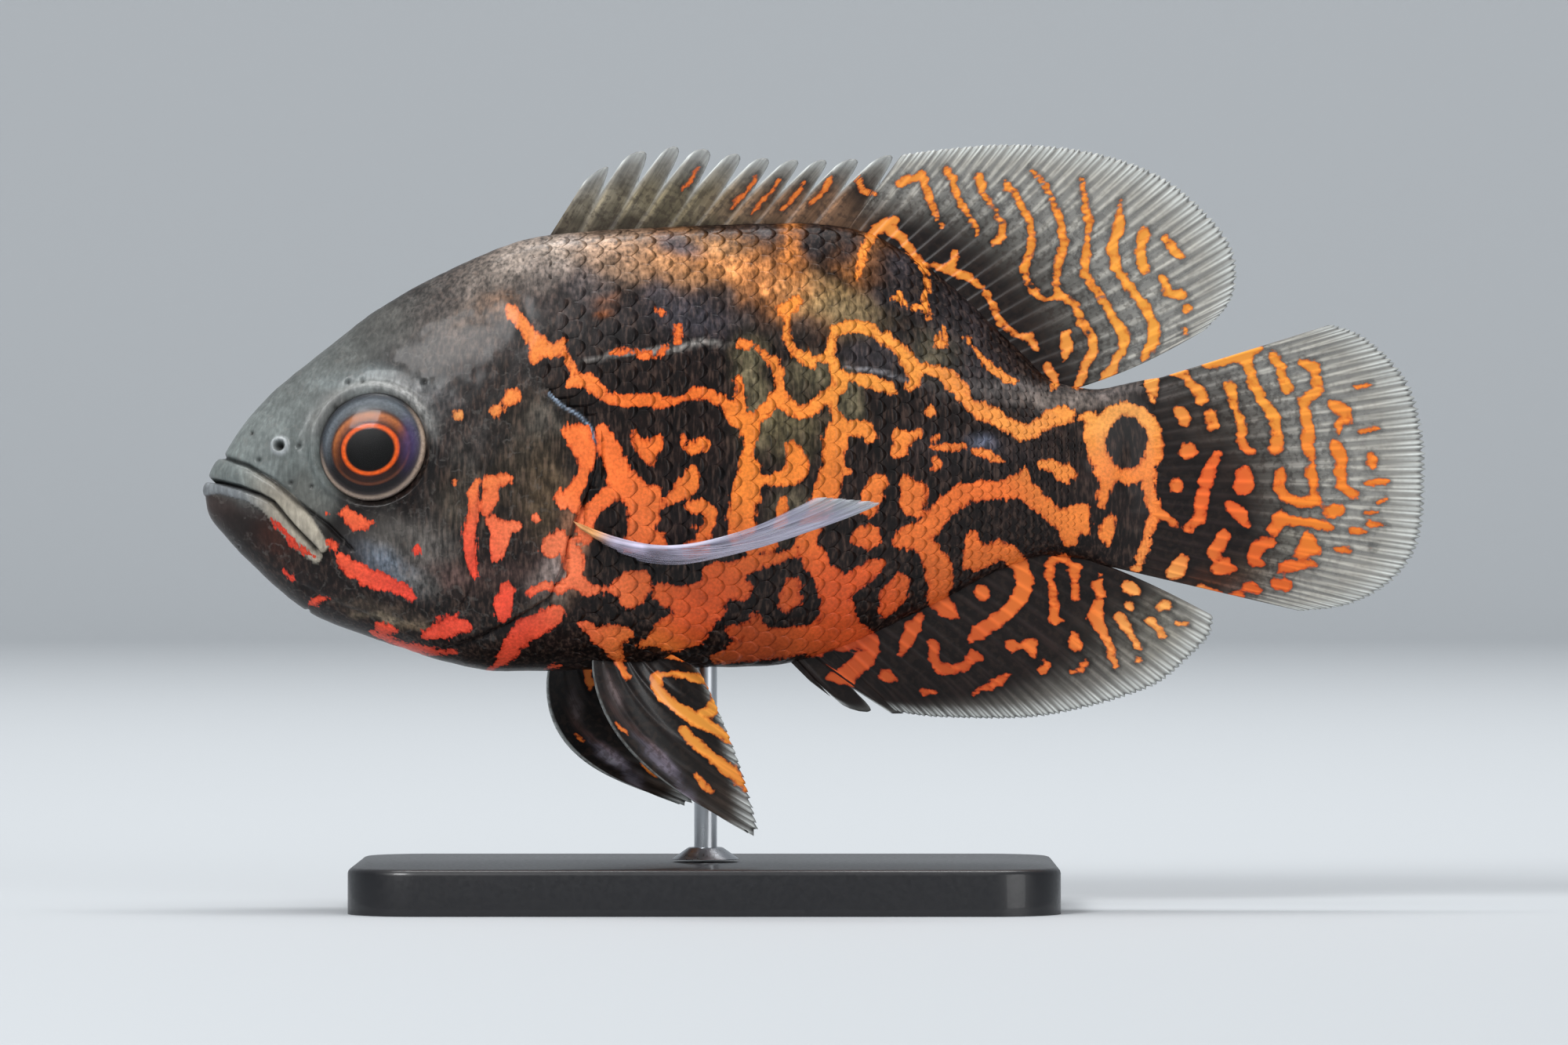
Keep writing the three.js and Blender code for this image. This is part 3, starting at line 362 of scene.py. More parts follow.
DORSAL_MARKS = [
    [(1148, 235, 6), (1162, 228, 6), (1176, 224, 6), (1182, 242, 5), (1191, 266, 4), (1201, 288, 3)],
    [(1207, 216, 5), (1217, 229, 5), (1223, 254, 4), (1239, 279, 4), (1248, 298, 4)],
    [(1250, 228, 7), (1254, 245, 5), (1267, 263, 4), (1277, 282, 4), (1280, 301, 5), (1268, 310, 5)],
    [(1285, 236, 6), (1298, 251, 5), (1311, 276, 5), (1317, 301, 5), (1314, 320, 5), (1305, 342, 5),
     (1308, 357, 4), (1320, 373, 5), (1337, 383, 4), (1355, 379, 4), (1370, 386, 5), (1380, 411, 6),
     (1392, 430, 6), (1395, 448, 7), (1383, 467, 5), (1376, 492, 6)],
    [(1316, 216, 3), (1333, 235, 4), (1345, 260, 4), (1353, 288, 5), (1357, 310, 6), (1348, 342, 5),
     (1347, 367, 5), (1355, 379, 4)],
    [(1380, 229, 3), (1383, 260, 5), (1389, 285, 6), (1386, 310, 4), (1383, 348, 6), (1399, 373, 5),
     (1410, 389, 5), (1421, 408, 6), (1433, 427, 8), (1432, 446, 6), (1421, 467, 6), (1408, 487, 7)],
    [(1430, 257, 3), (1427, 285, 7), (1418, 317, 7), (1424, 342, 6), (1433, 357, 6), (1449, 376, 6),
     (1461, 392, 7), (1472, 417, 8), (1471, 436, 8), (1459, 458, 4)],
    [(1461, 295, 6), (1454, 317, 6), (1456, 335, 7), (1462, 348, 5)],
    [(1486, 304, 5), (1499, 320, 7), (1508, 327, 5)], [(1483, 354, 5), (1490, 373, 7), (1508, 376, 6)],
    [(1514, 395, 7)], [(1511, 423, 5)],
    [(1172, 332, 4), (1190, 338, 3), (1215, 345, 7), (1235, 355, 6), (1254, 367, 4), (1266, 389, 4),
     (1275, 411, 5), (1286, 422, 4), (1301, 429, 5), (1314, 430, 5), (1320, 445, 5)],
    [(1217, 323, 5), (1214, 340, 6)], [(1360, 428, 7), (1361, 448, 7), (1355, 461, 3)],
    [(1337, 467, 6), (1343, 480, 7), (1345, 492, 5)],
    [(1091, 357, 4), (1098, 340, 5), (1103, 318, 6), (1112, 300, 7), (1125, 288, 8), (1140, 282, 7)],
    [(1125, 288, 8), (1145, 300, 7), (1160, 315, 6), (1172, 332, 5), (1180, 350, 4), (1183, 368, 4),
     (1178, 385, 4), (1184, 405, 4)], [(1095, 226, 4), (1100, 242, 5), (1112, 247, 4)],
    [(892, 214, 2), (880, 230, 3), (868, 244, 2)], [(964, 226, 2), (950, 246, 3), (932, 268, 2)],
    [(995, 228, 2), (980, 248, 3), (958, 274, 2)], [(1027, 232, 2), (1012, 252, 3), (996, 268, 2)],
    [(1061, 227, 3), (1043, 251, 3), (1034, 262, 2)],
]
TAIL_MARKS = [
    [(1470, 483, 9), (1468, 498, 7), (1470, 509, 5)],
    [(1495, 474, 5), (1509, 476, 6), (1519, 489, 7), (1528, 501, 8), (1533, 510, 8)],
    [(1538, 465, 7), (1553, 462, 6), (1571, 456, 7), (1589, 454, 8), (1607, 441, 4)],
    [(1589, 456, 7), (1594, 473, 7), (1600, 490, 7), (1610, 510, 8), (1625, 530, 8), (1627, 548, 8),
     (1632, 559, 7), (1625, 573, 9)], [(1624, 453, 7), (1632, 464, 8), (1636, 480, 6), (1642, 494, 9)],
    [(1660, 463, 5), (1675, 467, 8), (1679, 480, 6), (1681, 496, 8), (1664, 511, 8), (1666, 534, 9),
     (1669, 552, 8), (1669, 573, 9), (1673, 591, 4), (1673, 609, 9), (1678, 623, 6), (1678, 640, 8),
     (1657, 640, 6), (1640, 636, 7), (1630, 623, 6), (1634, 605, 8), (1634, 596, 4)],
    [(1700, 517, 7), (1716, 523, 9), (1719, 534, 6), (1707, 541, 6), (1704, 555, 5), (1705, 570, 9),
     (1711, 584, 7), (1709, 602, 8), (1711, 620, 7), (1723, 630, 6), (1733, 632, 4)],
    [(1569, 492, 8), (1571, 508, 7), (1578, 523, 4), (1583, 541, 8), (1583, 559, 7), (1589, 573, 7),
     (1600, 575, 4)], [(1505, 524, 8), (1511, 537, 8)], [(1544, 528, 7), (1547, 544, 8)],
    [(1515, 575, 12)], [(1501, 620, 10)],
    [(1555, 580, 6), (1545, 595, 8), (1537, 613, 9), (1533, 638, 9), (1528, 663, 8), (1517, 675, 6)],
    [(1587, 605, 10), (1585, 620, 13)], [(1570, 647, 8), (1583, 657, 9), (1589, 668, 6)],
    [(1632, 661, 9), (1625, 674, 9)],
    [(1634, 662, 8), (1648, 665, 6), (1668, 666, 7), (1689, 670, 8), (1697, 674, 5)],
    [(1696, 652, 8), (1707, 650, 8)], [(1560, 684, 9), (1556, 695, 9), (1547, 706, 8)],
    [(1508, 713, 8), (1501, 727, 12), (1491, 735, 5)], [(1552, 725, 8), (1562, 723, 11), (1572, 726, 6)],
    [(1619, 691, 8), (1603, 699, 9), (1599, 713, 9), (1607, 718, 6)], [(1668, 691, 12), (1660, 706, 9)],
    [(1668, 695, 10), (1678, 702, 7)], [(1636, 726, 7), (1648, 721, 8), (1662, 720, 5), (1676, 720, 4)],
    [(1592, 749, 9), (1604, 754, 5)], [(1581, 760, 6), (1560, 763, 6), (1540, 753, 5), (1527, 749, 4)],
    [(1628, 744, 9), (1642, 746, 8)], [(1750, 584, 7), (1750, 594, 7)], [(1743, 616, 5), (1768, 616, 4)],
    [(1768, 637, 3), (1758, 640, 3)], [(1743, 654, 4), (1756, 654, 3)], [(1745, 668, 4), (1765, 671, 3)],
    [(1724, 677, 5), (1742, 677, 4)], [(1752, 696, 3)], [(1706, 702, 5), (1720, 702, 4)],
    [(1732, 550, 4), (1756, 547, 3)], [(1729, 494, 3), (1748, 491, 3)],
]
ANAL_MARKS = [
    [(1340, 716, 6), (1339, 734, 6), (1344, 755, 6), (1345, 775, 6), (1345, 790, 8), (1355, 790, 4)],
    [(1342, 716, 5), (1360, 713, 6)], [(1372, 726, 9), (1370, 742, 5), (1372, 759, 6)],
    [(1405, 734, 4), (1399, 745, 7), (1405, 757, 5), (1399, 775, 6), (1397, 788, 10), (1405, 804, 6),
     (1413, 820, 5), (1415, 837, 5), (1420, 849, 4)], [(1438, 749, 9), (1448, 753, 7)], [(1440, 773, 7)],
    [(1428, 787, 8), (1436, 800, 6), (1446, 816, 5), (1450, 824, 6)], [(1481, 773, 7), (1491, 773, 5)],
    [(1469, 792, 7), (1476, 800, 4), (1481, 810, 5)], [(1500, 795, 3), (1514, 795, 3)],
    [(1371, 808, 5), (1370, 820, 10)], [(1288, 824, 8), (1301, 824, 5), (1314, 822, 9), (1317, 834, 6)],
    [(1333, 847, 6), (1328, 853, 6)], [(1383, 843, 4), (1374, 855, 4), (1362, 857, 3)], [(1450, 842, 4)],
    [(1190, 822, 7), (1189, 838, 7), (1197, 851, 8), (1212, 856, 6), (1228, 848, 6), (1240, 837, 9),
     (1249, 839, 5)], [(1283, 861, 4), (1272, 869, 6), (1256, 877, 5), (1238, 884, 3)],
    [(1172, 882, 4), (1190, 883, 4)],
]
PELVIC_MARKS = [
    [(822, 862, 6), (819, 874, 7), (830, 890, 7), (843, 903, 7), (860, 915, 8), (878, 927, 7),
     (892, 936, 6), (916, 952, 3)],
    [(822, 862, 6), (840, 859, 4), (856, 861, 6), (870, 866, 8), (880, 876, 9), (884, 890, 8),
     (876, 904, 7), (862, 912, 6)],
    [(848, 930, 6), (858, 944, 7), (872, 958, 6), (886, 968, 7), (898, 979, 8), (910, 993, 7),
     (918, 1002, 4), (930, 1016, 3), (936, 1024, 3)], [(860, 988, 4), (870, 999, 4), (876, 1006, 3)],
    [(805, 829, 3), (830, 833, 4), (854, 840, 4), (868, 845, 4)], [(777, 843, 6), (784, 863, 5)],
    [(768, 923, 3), (780, 934, 2)],
]
MARKS = HEAD_MARKS + FLANK_MARKS + EYE_SPOT_RING + DORSAL_MARKS + TAIL_MARKS + ANAL_MARKS
MM = 0.001  # metres
OUTSIDE = -14  # pixels: how far outside a mark still counts
MARK_HUES = [
    (300, 700, "#E2412E"), (560, 740, "#EE4A38"), (640, 780, "#EE5038"), (560, 530, "#D98E48"),
    (680, 450, "#EC8339"), (760, 600, "#EE7236"), (850, 510, "#EC722D"), (900, 790, "#D8572A"),
    (950, 830, "#AE4B27"), (960, 580, "#EE8533"), (1100, 440, "#F29A40"), (1080, 780, "#DA582A"),
    (1250, 640, "#EA7233"), (1300, 540, "#EE9445"), (1430, 520, "#F0A04C"), (1430, 620, "#EC8238"),
    (1300, 300, "#F09A3A"), (1450, 400, "#F4A440"), (1600, 500, "#F49E3C"), (1560, 620, "#EA662C"),
    (1680, 640, "#EE842C"), (1600, 730, "#DC6226"), (1220, 840, "#D05A28"), (1360, 760, "#E6742E"),
    (1480, 780, "#F4A858"), (700, 700, "#EE7A50"), (870, 900, "#F4A040"),
]
# The ground between the marks: soft clouds, as pixel across, pixel down, half length, half height, tilt in
# degrees, colour and strength. The near-black cloud under the eye is a painted shadow, and the bluish one on
# the cheek a painted highlight. The last four are the pale lateral line.
GROUND = "#150C0A"
CLOUDS = [
    (300, 590, 60, 60, -40, "#7A8280", 0.9), (350, 540, 70, 45, -45, "#747A78", 0.9),
    (420, 470, 80, 42, -42, "#676B69", 0.9), (500, 415, 80, 40, -35, "#4E4E4B", 0.85),
    (590, 375, 80, 36, -28, "#443F3C", 0.85), (680, 330, 80, 34, -18, "#7F746B", 0.85),
    (740, 315, 70, 22, -6, "#8B7D71", 0.8), (400, 590, 50, 60, 0, "#656B69", 0.85),
    (400, 640, 36, 30, 30, "#5F5F5A", 0.7), (480, 487, 70, 16, 0, "#7E8686", 0.8),
    (540, 500, 40, 24, 30, "#4C4C4D", 0.6), (560, 455, 60, 26, -25, "#35322F", 0.8),
    (610, 430, 60, 26, -25, "#3D342F", 0.7), (600, 400, 40, 18, -25, "#5C4C40", 0.5),
    (640, 395, 26, 16, 0, "#8A664C", 0.5), (650, 450, 36, 24, 0, "#2E2725", 0.75),
    # (500, 655) is a painted shadow under the eye.
    (500, 655, 95, 20, -8, "#0F0B0A", 0.95), (560, 600, 22, 60, 8, "#141010", 0.9),
    (596, 575, 16, 24, 0, "#4A4844", 0.7), (520, 695, 56, 30, 15, "#57534F", 0.85),
    # (500, 722) is a painted highlight: a bluish sheen on the cheek.
    (500, 722, 44, 18, 30, "#66707C", 0.75), (560, 705, 36, 36, 0, "#5B5652", 0.75),
    (590, 640, 30, 40, 0, "#3A352E", 0.7), (585, 740, 40, 18, 10, "#4E3A36", 0.7),
    (535, 745, 28, 14, 20, "#6A6763", 0.6), (680, 570, 50, 60, 0, "#3A3227", 0.85),
    (650, 620, 60, 40, 0, "#2E271F", 0.8), (700, 640, 30, 50, 0, "#4A3C2C", 0.7),
    (620, 560, 50, 34, 0, "#2B2624", 0.8), (690, 540, 26, 22, 0, "#4E4A44", 0.6),
    (660, 730, 50, 22, -20, "#4A3733", 0.7), (285, 650, 40, 24, 20, "#43332F", 0.85),
    (330, 700, 80, 40, 42, "#160F0D", 0.95), (355, 690, 22, 34, -40, "#3A1D14", 0.7),
    (420, 765, 70, 26, 32, "#1B1211", 0.9), (500, 780, 60, 12, 14, "#51463C", 0.7),
    (500, 790, 40, 5, 10, "#9A8A72", 0.6), (525, 797, 18, 8, 0, "#6C5B48", 0.7),
    (600, 800, 60, 40, -20, "#1A1311", 0.8), (700, 770, 34, 12, -35, "#5E5248", 0.6),
    (705, 735, 34, 18, -40, "#A08F89", 0.7), (735, 700, 12, 50, 12, "#C48A6A", 0.6),
    (790, 325, 60, 34, 15, "#A08067", 0.85), (850, 345, 60, 26, 28, "#A87850", 0.8),
    (920, 335, 70, 30, 20, "#AE7444", 0.85), (990, 365, 70, 34, 30, "#B87440", 0.85),
    (1050, 385, 50, 26, 25, "#94794F", 0.75), (1075, 400, 50, 18, 10, "#7C6A4C", 0.7),
    (1100, 330, 30, 40, 0, "#B06F38", 0.6), (1010, 320, 14, 44, -10, "#D07E3C", 0.75),
    (905, 310, 50, 14, 10, "#A87A50", 0.7), (732, 309, 14, 10, 0, "#6F6865", 0.6),
    (755, 368, 26, 24, 0, "#4C4646", 0.75), (700, 350, 40, 20, -10, "#6E645E", 0.6),
    (870, 313, 26, 12, 20, "#4C4850", 0.85), (973, 298, 14, 8, 10, "#3E3838", 0.8),
    (1034, 313, 16, 20, 0, "#2E2829", 0.9), (1084, 313, 22, 22, 0, "#231E20", 0.92),
    (1141, 345, 34, 26, 20, "#2A2629", 0.95), (1137, 385, 30, 16, 0, "#2F2B2D", 0.8),
    (1214, 395, 50, 40, 40, "#221E20", 0.9), (847, 372, 20, 20, 0, "#464247", 0.8),
    (885, 403, 56, 30, 15, "#3B383E", 0.9), (925, 376, 14, 12, 0, "#3A3636", 0.7),
    (954, 402, 22, 22, 0, "#332D2C", 0.85), (709, 404, 26, 20, 0, "#3A3230", 0.8),
    (755, 424, 30, 24, 0, "#26201F", 0.9), (801, 420, 28, 22, 0, "#241F1F", 0.9),
    (766, 402, 10, 6, 0, "#8A4F2C", 0.7), (775, 385, 14, 10, 0, "#94634A", 0.5),
    (1023, 424, 26, 18, 0, "#332C28", 0.8), (990, 420, 12, 20, 0, "#2A2421", 0.8),
    (962, 480, 20, 44, 0, "#6B6249", 0.8), (1000, 548, 44, 36, 0, "#62583F", 0.85),
    (1040, 482, 30, 24, 0, "#5D553F", 0.7), (1082, 512, 18, 34, 0, "#675F48", 0.8),
    (1190, 452, 30, 30, 0, "#635B45", 0.6), (1115, 455, 44, 26, 22, "#332F32", 0.8),
    (1235, 450, 60, 30, 45, "#2A2527", 0.8), (1300, 500, 95, 14, 4, "#5A5452", 0.75),
    (1360, 510, 70, 12, 3, "#6E645D", 0.7), (1250, 562, 18, 10, 30, "#6A7286", 0.6),
    (1230, 575, 90, 24, 8, "#2A2425", 0.6), (1440, 495, 40, 12, -10, "#6A6360", 0.6),
    (1010, 655, 26, 30, 0, "#5D5543", 0.6), (960, 560, 18, 26, 0, "#5B523E", 0.5),
    (775, 456, 26, 3, -14, "#9A9590", 0.65), (840, 447, 44, 3, -4, "#A5A09A", 0.65),
    (905, 443, 30, 3, 2, "#A5A09A", 0.65), (1120, 482, 44, 3, 16, "#8E8C90", 0.6),
]
LATTICE = np.random.default_rng(11).random((256, 256))


def drift(a, b, size):
    """A soft random field between -1 and 1, whose patches are about size across."""
    a, b = np.asarray(a) / size, np.asarray(b) / size
    i, j = np.floor(a).astype(int), np.floor(b).astype(int)
    u, v = a - i, b - j
    u, v = u * u * (3 - 2 * u), v * v * (3 - 2 * v)
    corner = lambda x, y: LATTICE[(i + x) % 256, (j + y) % 256]
    low = corner(0, 0) * (1 - u) + corner(1, 0) * u
    high = corner(0, 1) * (1 - u) + corner(1, 1) * u
    return 2 * (low * (1 - v) + high * v) - 1


def seen_at(points):
    """The photo pixel that shows each place (mm). The right side carries its own, shifted, version."""
    x = points[:, 0] * MM / PX + ROD_X
    y = PELVIC_TIP_Y - (points[:, 2] * MM - PELVIC_TIP_Z) / PX
    right = np.clip(points[:, 1] / 4, 0, 1)
    flank = np.clip((x - 560) / 160, 0, 1) * np.clip((1330 - x) / 120, 0, 1)
    x = x + right * flank * (26 * drift(x, y, 130) + 12)
    y = y + right * flank * 22 * drift(y + 900, x, 120)
    under = np.clip((y - 790) / 60, 0, 1) * points[:, 1]
    return x + 3 * under, y


def mark_depth(x, y, strokes=MARKS):
    """How far inside an orange mark each pixel lies, in pixels, and below zero outside."""
    x = x + 2.2 * drift(x, y, 9) + 1.1 * drift(y, x, 4.5)
    y = y + 2.2 * drift(x + 500, y, 9) + 1.1 * drift(y, x + 300, 4.5)
    depth = np.full(x.shape, float(OUTSIDE))
    for stroke in strokes:
        for (x0, y0, r0), (x1, y1, r1) in zip(stroke, stroke[1:] or stroke):
            reach = max(r0, r1) - OUTSIDE
            near = np.nonzero((x > min(x0, x1) - reach) & (x < max(x0, x1) + reach)
                              & (y > min(y0, y1) - reach) & (y < max(y0, y1) + reach))[0]
            if len(near) == 0:
                continue
            dx, dy = x1 - x0, y1 - y0
            t = np.clip(((x[near] - x0) * dx + (y[near] - y0) * dy) / max(dx * dx + dy * dy, 1e-6), 0, 1)
            far = np.hypot(x[near] - x0 - t * dx, y[near] - y0 - t * dy)
            depth[near] = np.maximum(depth[near], r0 + (r1 - r0) * t - far)
    return depth


def mark_hue(x, y):
    """The orange of the marks, from coral on the head to amber on the fins."""
    weights = np.stack([1 / (((x - a) ** 2 + (y - b) ** 2) / 3600 + 0.05) ** 1.6 for a, b, _ in MARK_HUES])
    colours = np.array([linear(code) for _, _, code in MARK_HUES])
    return (weights / weights.sum(axis=0)).T @ colours


def ground_colour(x, y, base=GROUND, clouds=CLOUDS):
    """The soft colour between the marks."""
    x = x + 9 * drift(x, y, 34) + 4 * drift(y, x, 13)
    y = y + 9 * drift(x + 700, y, 34) + 4 * drift(y + 200, x, 13)
    mottle = 1 + 0.34 * drift(x, y, 24) + 0.3 * drift(x + 400, y, 10)
    mottle = 1 + (mottle - 1) * np.clip((x - 430) / 160, 0, 1)
    colour = np.tile(linear(base), (len(x), 1))
    for cx, cy, long, tall, tilt, code, strength in clouds:
        c, s = math.cos(math.radians(tilt)), math.sin(math.radians(tilt))
        a = ((x - cx) * c + (y - cy) * s) / long
        b = ((y - cy) * c - (x - cx) * s) / tall
        weight = (strength * np.exp(-(a * a + b * b) ** 1.4))[:, None]
        colour = colour * (1 - weight) + linear(code) * weight
    return colour * mottle[:, None]


def paint(mesh, points):
    """Stores the markings at each point of a mesh, for its material to read."""
    x, y = seen_at(points)
    store(mesh, "mark", mark_depth(x, y))
    store(mesh, "hue", mark_hue(x, y))
    store(mesh, "ground", ground_colour(x, y))


def store(mesh, name, values):
    """Keeps one number or one colour for each point of a mesh."""
    if values.ndim == 1:
        layer = mesh.attributes.new(name, "FLOAT", "POINT")
        layer.data.foreach_set("value", values.astype(np.float32))
        return
    layer = mesh.attributes.new(name, "FLOAT_COLOR", "POINT")
    colours = np.ones((len(values), 4), np.float32)
    colours[:, :3] = values
    layer.data.foreach_set("color", colours.ravel())


# The skin, one seamless piece over head, jaw, gill covers, trunk and tail stalk: thin moist hide over bone
# and muscle. It starts as a flat grid of length by girth, made finer where the head has its small forms, and
# is then wrapped round the body and sculpted: lips, mouth, nostrils, pores, eye sockets and gill covers.
SKIN_ROWS, SKIN_SIDES = 270, 204
# Lines on the head, as distance behind the snout and height above the axis in mm, and for lips half width.
MOUTH = [(-2, 0.35), (0, 0.3), (1.4, 0.1), (4.9, -0.8), (7.6, -1.7), (9.4, -2.7), (12.2, -5.9), (15.8, -9.6)]
LIP_GROOVE = [(1, 3.9), (2.7, 3.2), (5.9, 2.1), (9.4, 0), (13, -3.1), (16.4, -5.6), (19.6, -8.8)]
UPPER_LIP = [(-1, 1.9, 1.5), (2, 1.6, 1.4), (5.4, 0.8, 1.3), (8.6, -0.8, 1.4), (11.2, -3, 1.5),
             (13.6, -5.7, 1.4), (15.6, -8.4, 1)]
LOWER_LIP = [(-1, -0.9, 1.1), (2.2, -0.8, 0.8), (5.9, -1.7, 0.8), (8.4, -3, 0.9), (10.6, -5.2, 1.2),
             (13, -8, 1.2), (15, -9.8, 0.8)]
GILL_EDGE = [(45.6, 11.4), (47.2, 9.9), (49.2, 8.9), (50.9, 7.1), (51.6, 4.6), (51.4, 1.5), (50.3, -1.7),
             (48.8, -4.8), (47.8, -7.9), (46.9, -11.6), (45.4, -15), (40.4, -18.2), (35.9, -20.4),
             (31.9, -21.6)]
CHEEK_EDGE = [(38.4, 6), (37.4, 2.6), (36.2, -3.6), (35.9, -8.7), (35.4, -14), (33.4, -17.4)]
JAW_FOLD = [(16.4, -9.4), (18.8, -11.6), (22, -13.4), (26, -14.2), (28.6, -16)]
THROAT_FOLD = [(30, -19.4), (24.5, -18.6), (18.5, -16.6), (13, -13.8)]
EYE_AT, EYE_RADIUS, SOCKET_DEPTH = (22.4, 4.5), 7.1, 3.2
NOSTRIL_AT, MOUTH_END = (10.1, 4.7), 16.2
SKIN_SINK = 0.06  # mm that the skin lies inside the scales
PORES = [(7.3, 2.9), (11.6, -0.1), (12.7, 4.7), (21, 13), (19.1, 12.9), (29.1, 12.9), (14.4, -0.6),
         (6.2, 6.4), (9, -14.6), (13.4, -17), (4.4, -8.6), (17.6, 9.6)]


def to_line(s, h, outline):
    """Distance to a line seen from the side, its side (above or ahead is positive) and the share along."""
    best = np.full(s.shape, 1e9)
    sign, share = np.ones(s.shape), np.zeros(s.shape)
    steps = len(outline) - 1
    for i in range(steps):
        (a, b), (c, d) = outline[i][:2], outline[i + 1][:2]
        t = np.clip(((s - a) * (c - a) + (h - b) * (d - b)) / ((c - a) ** 2 + (d - b) ** 2), 0, 1)
        far = np.hypot(s - a - t * (c - a), h - b - t * (d - b))
        closer = far < best
        best = np.where(closer, far, best)
        sign = np.where(closer, np.sign((c - a) * (h - b) - (d - b) * (s - a)), sign)
        share = np.where(closer, (i + t) / steps, share)
    return best, sign, share


def rolled(s, h, outline):
    """A soft roll along a line that carries its own half width: 1 on the line and 0 at its edges."""
    best = np.zeros(s.shape)
    for (a, b, p), (c, d, q) in zip(outline, outline[1:]):
        t = np.clip(((s - a) * (c - a) + (h - b) * (d - b)) / ((c - a) ** 2 + (d - b) ** 2), 0, 1)
        far = np.hypot(s - a - t * (c - a), h - b - t * (d - b)) / (p + (q - p) * t)
        best = np.maximum(best, np.sqrt(np.clip(1 - far * far, 0, 1)))
    return best


def ramp(value, low, high):
    """A soft step from 0 at low to 1 at high."""
    t = np.clip((value - low) / (high - low), 0, 1)
    return t * t * (3 - 2 * t)


def crest(far, height, width):
    """A soft ridge, as high and as wide to each side as told, along whatever lies this far away."""
    return height * np.exp(-(far / width) ** 2)


def relief(s, h):
    """How far the head's forms stand out of the plain body, in mm."""
    lift = 0.5 * rolled(s, h, UPPER_LIP) + 0.42 * rolled(s, h, LOWER_LIP)
    lift -= crest(to_line(s, h, MOUTH)[0], 0.95, 0.24) * ramp(MOUTH_END - s, 0, 1.5)
    lift -= crest(to_line(s, h, LIP_GROOVE)[0], 0.5, 0.3)
    eye = np.hypot(s - EYE_AT[0], h - EYE_AT[1])
    lift += crest(eye - EYE_RADIUS - 0.75, 0.75, 0.55) + crest(eye - 9.6, 0.3, 1.6)
    lift -= SOCKET_DEPTH * ramp(EYE_RADIUS - 0.1 - eye, 0, 1.3)
    nostril = np.hypot(s - NOSTRIL_AT[0], h - NOSTRIL_AT[1])
    lift += crest(nostril - 0.88, 0.34, 0.28) - crest(nostril, 1.1, 0.42)
    for a, b in PORES:
        lift -= crest(np.hypot(s - a, h - b), 0.32, 0.27)
    gill, ahead, along = to_line(s, h, GILL_EDGE)
    fade = np.sin(math.pi * np.clip(along, 0.02, 0.98)) ** 0.4
    cover = gill * ahead
    lift += fade * np.where(cover < 0, 0.5 * ramp(cover, -4, -0.15) - 0.5 * ramp(cover, -0.25, 0), 0)
    lift -= fade * np.where(cover >= 0, crest(cover, 0.45, 0.9), 0)
    cheek, behind, along = to_line(s, h, CHEEK_EDGE)
    fade = np.sin(math.pi * np.clip(along, 0.02, 0.98)) ** 0.5
    lift += fade * (crest(cheek * behind + 0.9, 0.22, 0.8) - crest(cheek, 0.34, 0.25))
    for fold in (JAW_FOLD, THROAT_FOLD):
        lift -= crest(to_line(s, h, fold)[0], 0.3, 0.34)
    lift += crest(np.hypot((s - 27) / 7, (h + 8) / 5), 0.35, 1)
    rough = 0.035 * drift(s * 10, h * 10, 9) + 0.05 * drift(s * 10, h * 10, 24)
    return lift + rough


def thin_tail(points, s):
    """Thins the end of the stalk into the tail fin."""
    end = ramp(s, 117, BODY_LENGTH)
    across = points[:, 1] * (1 - 0.75 * end)
    below = np.minimum(points[:, 2] - AXIS_Z, 0)
    return np.stack([points[:, 0], across, points[:, 2] - 0.085 * end * below], axis=1)


def grid_piece(name, rows, columns):
    """A new piece that starts as a flat square grid, one by one, at the middle of the floor."""
    bpy.ops.object.select_all(action="DESELECT")
    bpy.ops.mesh.primitive_grid_add(x_subdivisions=rows, y_subdivisions=columns, size=1, location=(0, 0, 0))
    piece = bpy.context.object
    piece.name = piece.data.name = name
    return piece


def flat_places(piece):
    """Where each point of a flat grid lies, from 0 to 1 both ways."""
    flat = np.empty(len(piece.data.vertices) * 3, np.float32)
    piece.data.vertices.foreach_get("co", flat)
    flat = flat.reshape(-1, 3).astype(float) + 0.5
    return np.clip(flat[:, 0], 0, 1), np.clip(flat[:, 1], 0, 1)


def finer(piece, wanted, cuts=1):
    """Subdivides the faces of a flat grid whose middles are wanted."""
    along, across = flat_places(piece)
    bpy.ops.object.mode_set(mode="EDIT")
    bpy.ops.mesh.select_mode(type="FACE")
    bpy.ops.mesh.select_all(action="DESELECT")
    bpy.ops.object.mode_set(mode="OBJECT")
    faces = piece.data.polygons
    first = np.empty(len(faces), np.int32)
    faces.foreach_get("loop_start", first)
    corner = np.empty(len(piece.data.loops), np.int32)
    piece.data.loops.foreach_get("vertex_index", corner)
    start, opposite = corner[first], corner[first + 2]
    middle = (along[start] + along[opposite]) / 2, (across[start] + across[opposite]) / 2
    faces.foreach_set("select", wanted(*middle))
    bpy.ops.object.mode_set(mode="EDIT")
    bpy.ops.mesh.subdivide(number_cuts=cuts)
    bpy.ops.object.mode_set(mode="OBJECT")


def settle(piece, points):
    """Puts a piece's points (mm) in place, closes its seams and poles, and turns its faces outwards."""
    piece.data.vertices.foreach_set("co", (points * MM).astype(np.float32).ravel())
    piece.data.update()
    bpy.ops.object.mode_set(mode="EDIT")
    bpy.ops.mesh.select_all(action="SELECT")
    bpy.ops.mesh.remove_doubles(threshold=1e-6)
    bpy.ops.mesh.normals_make_consistent(inside=False)
    bpy.ops.object.mode_set(mode="OBJECT")
    bpy.ops.object.shade_smooth()


def body_station(t):
    """Distance behind the snout of a row of the skin's grid: rows are closest at the snout."""
    return BODY_LENGTH * t ** 1.4


FINE_NEAR, FINEST_NEAR = 1.2, 0.55  # mm from the head's lines that the grid is made finer, once and twice


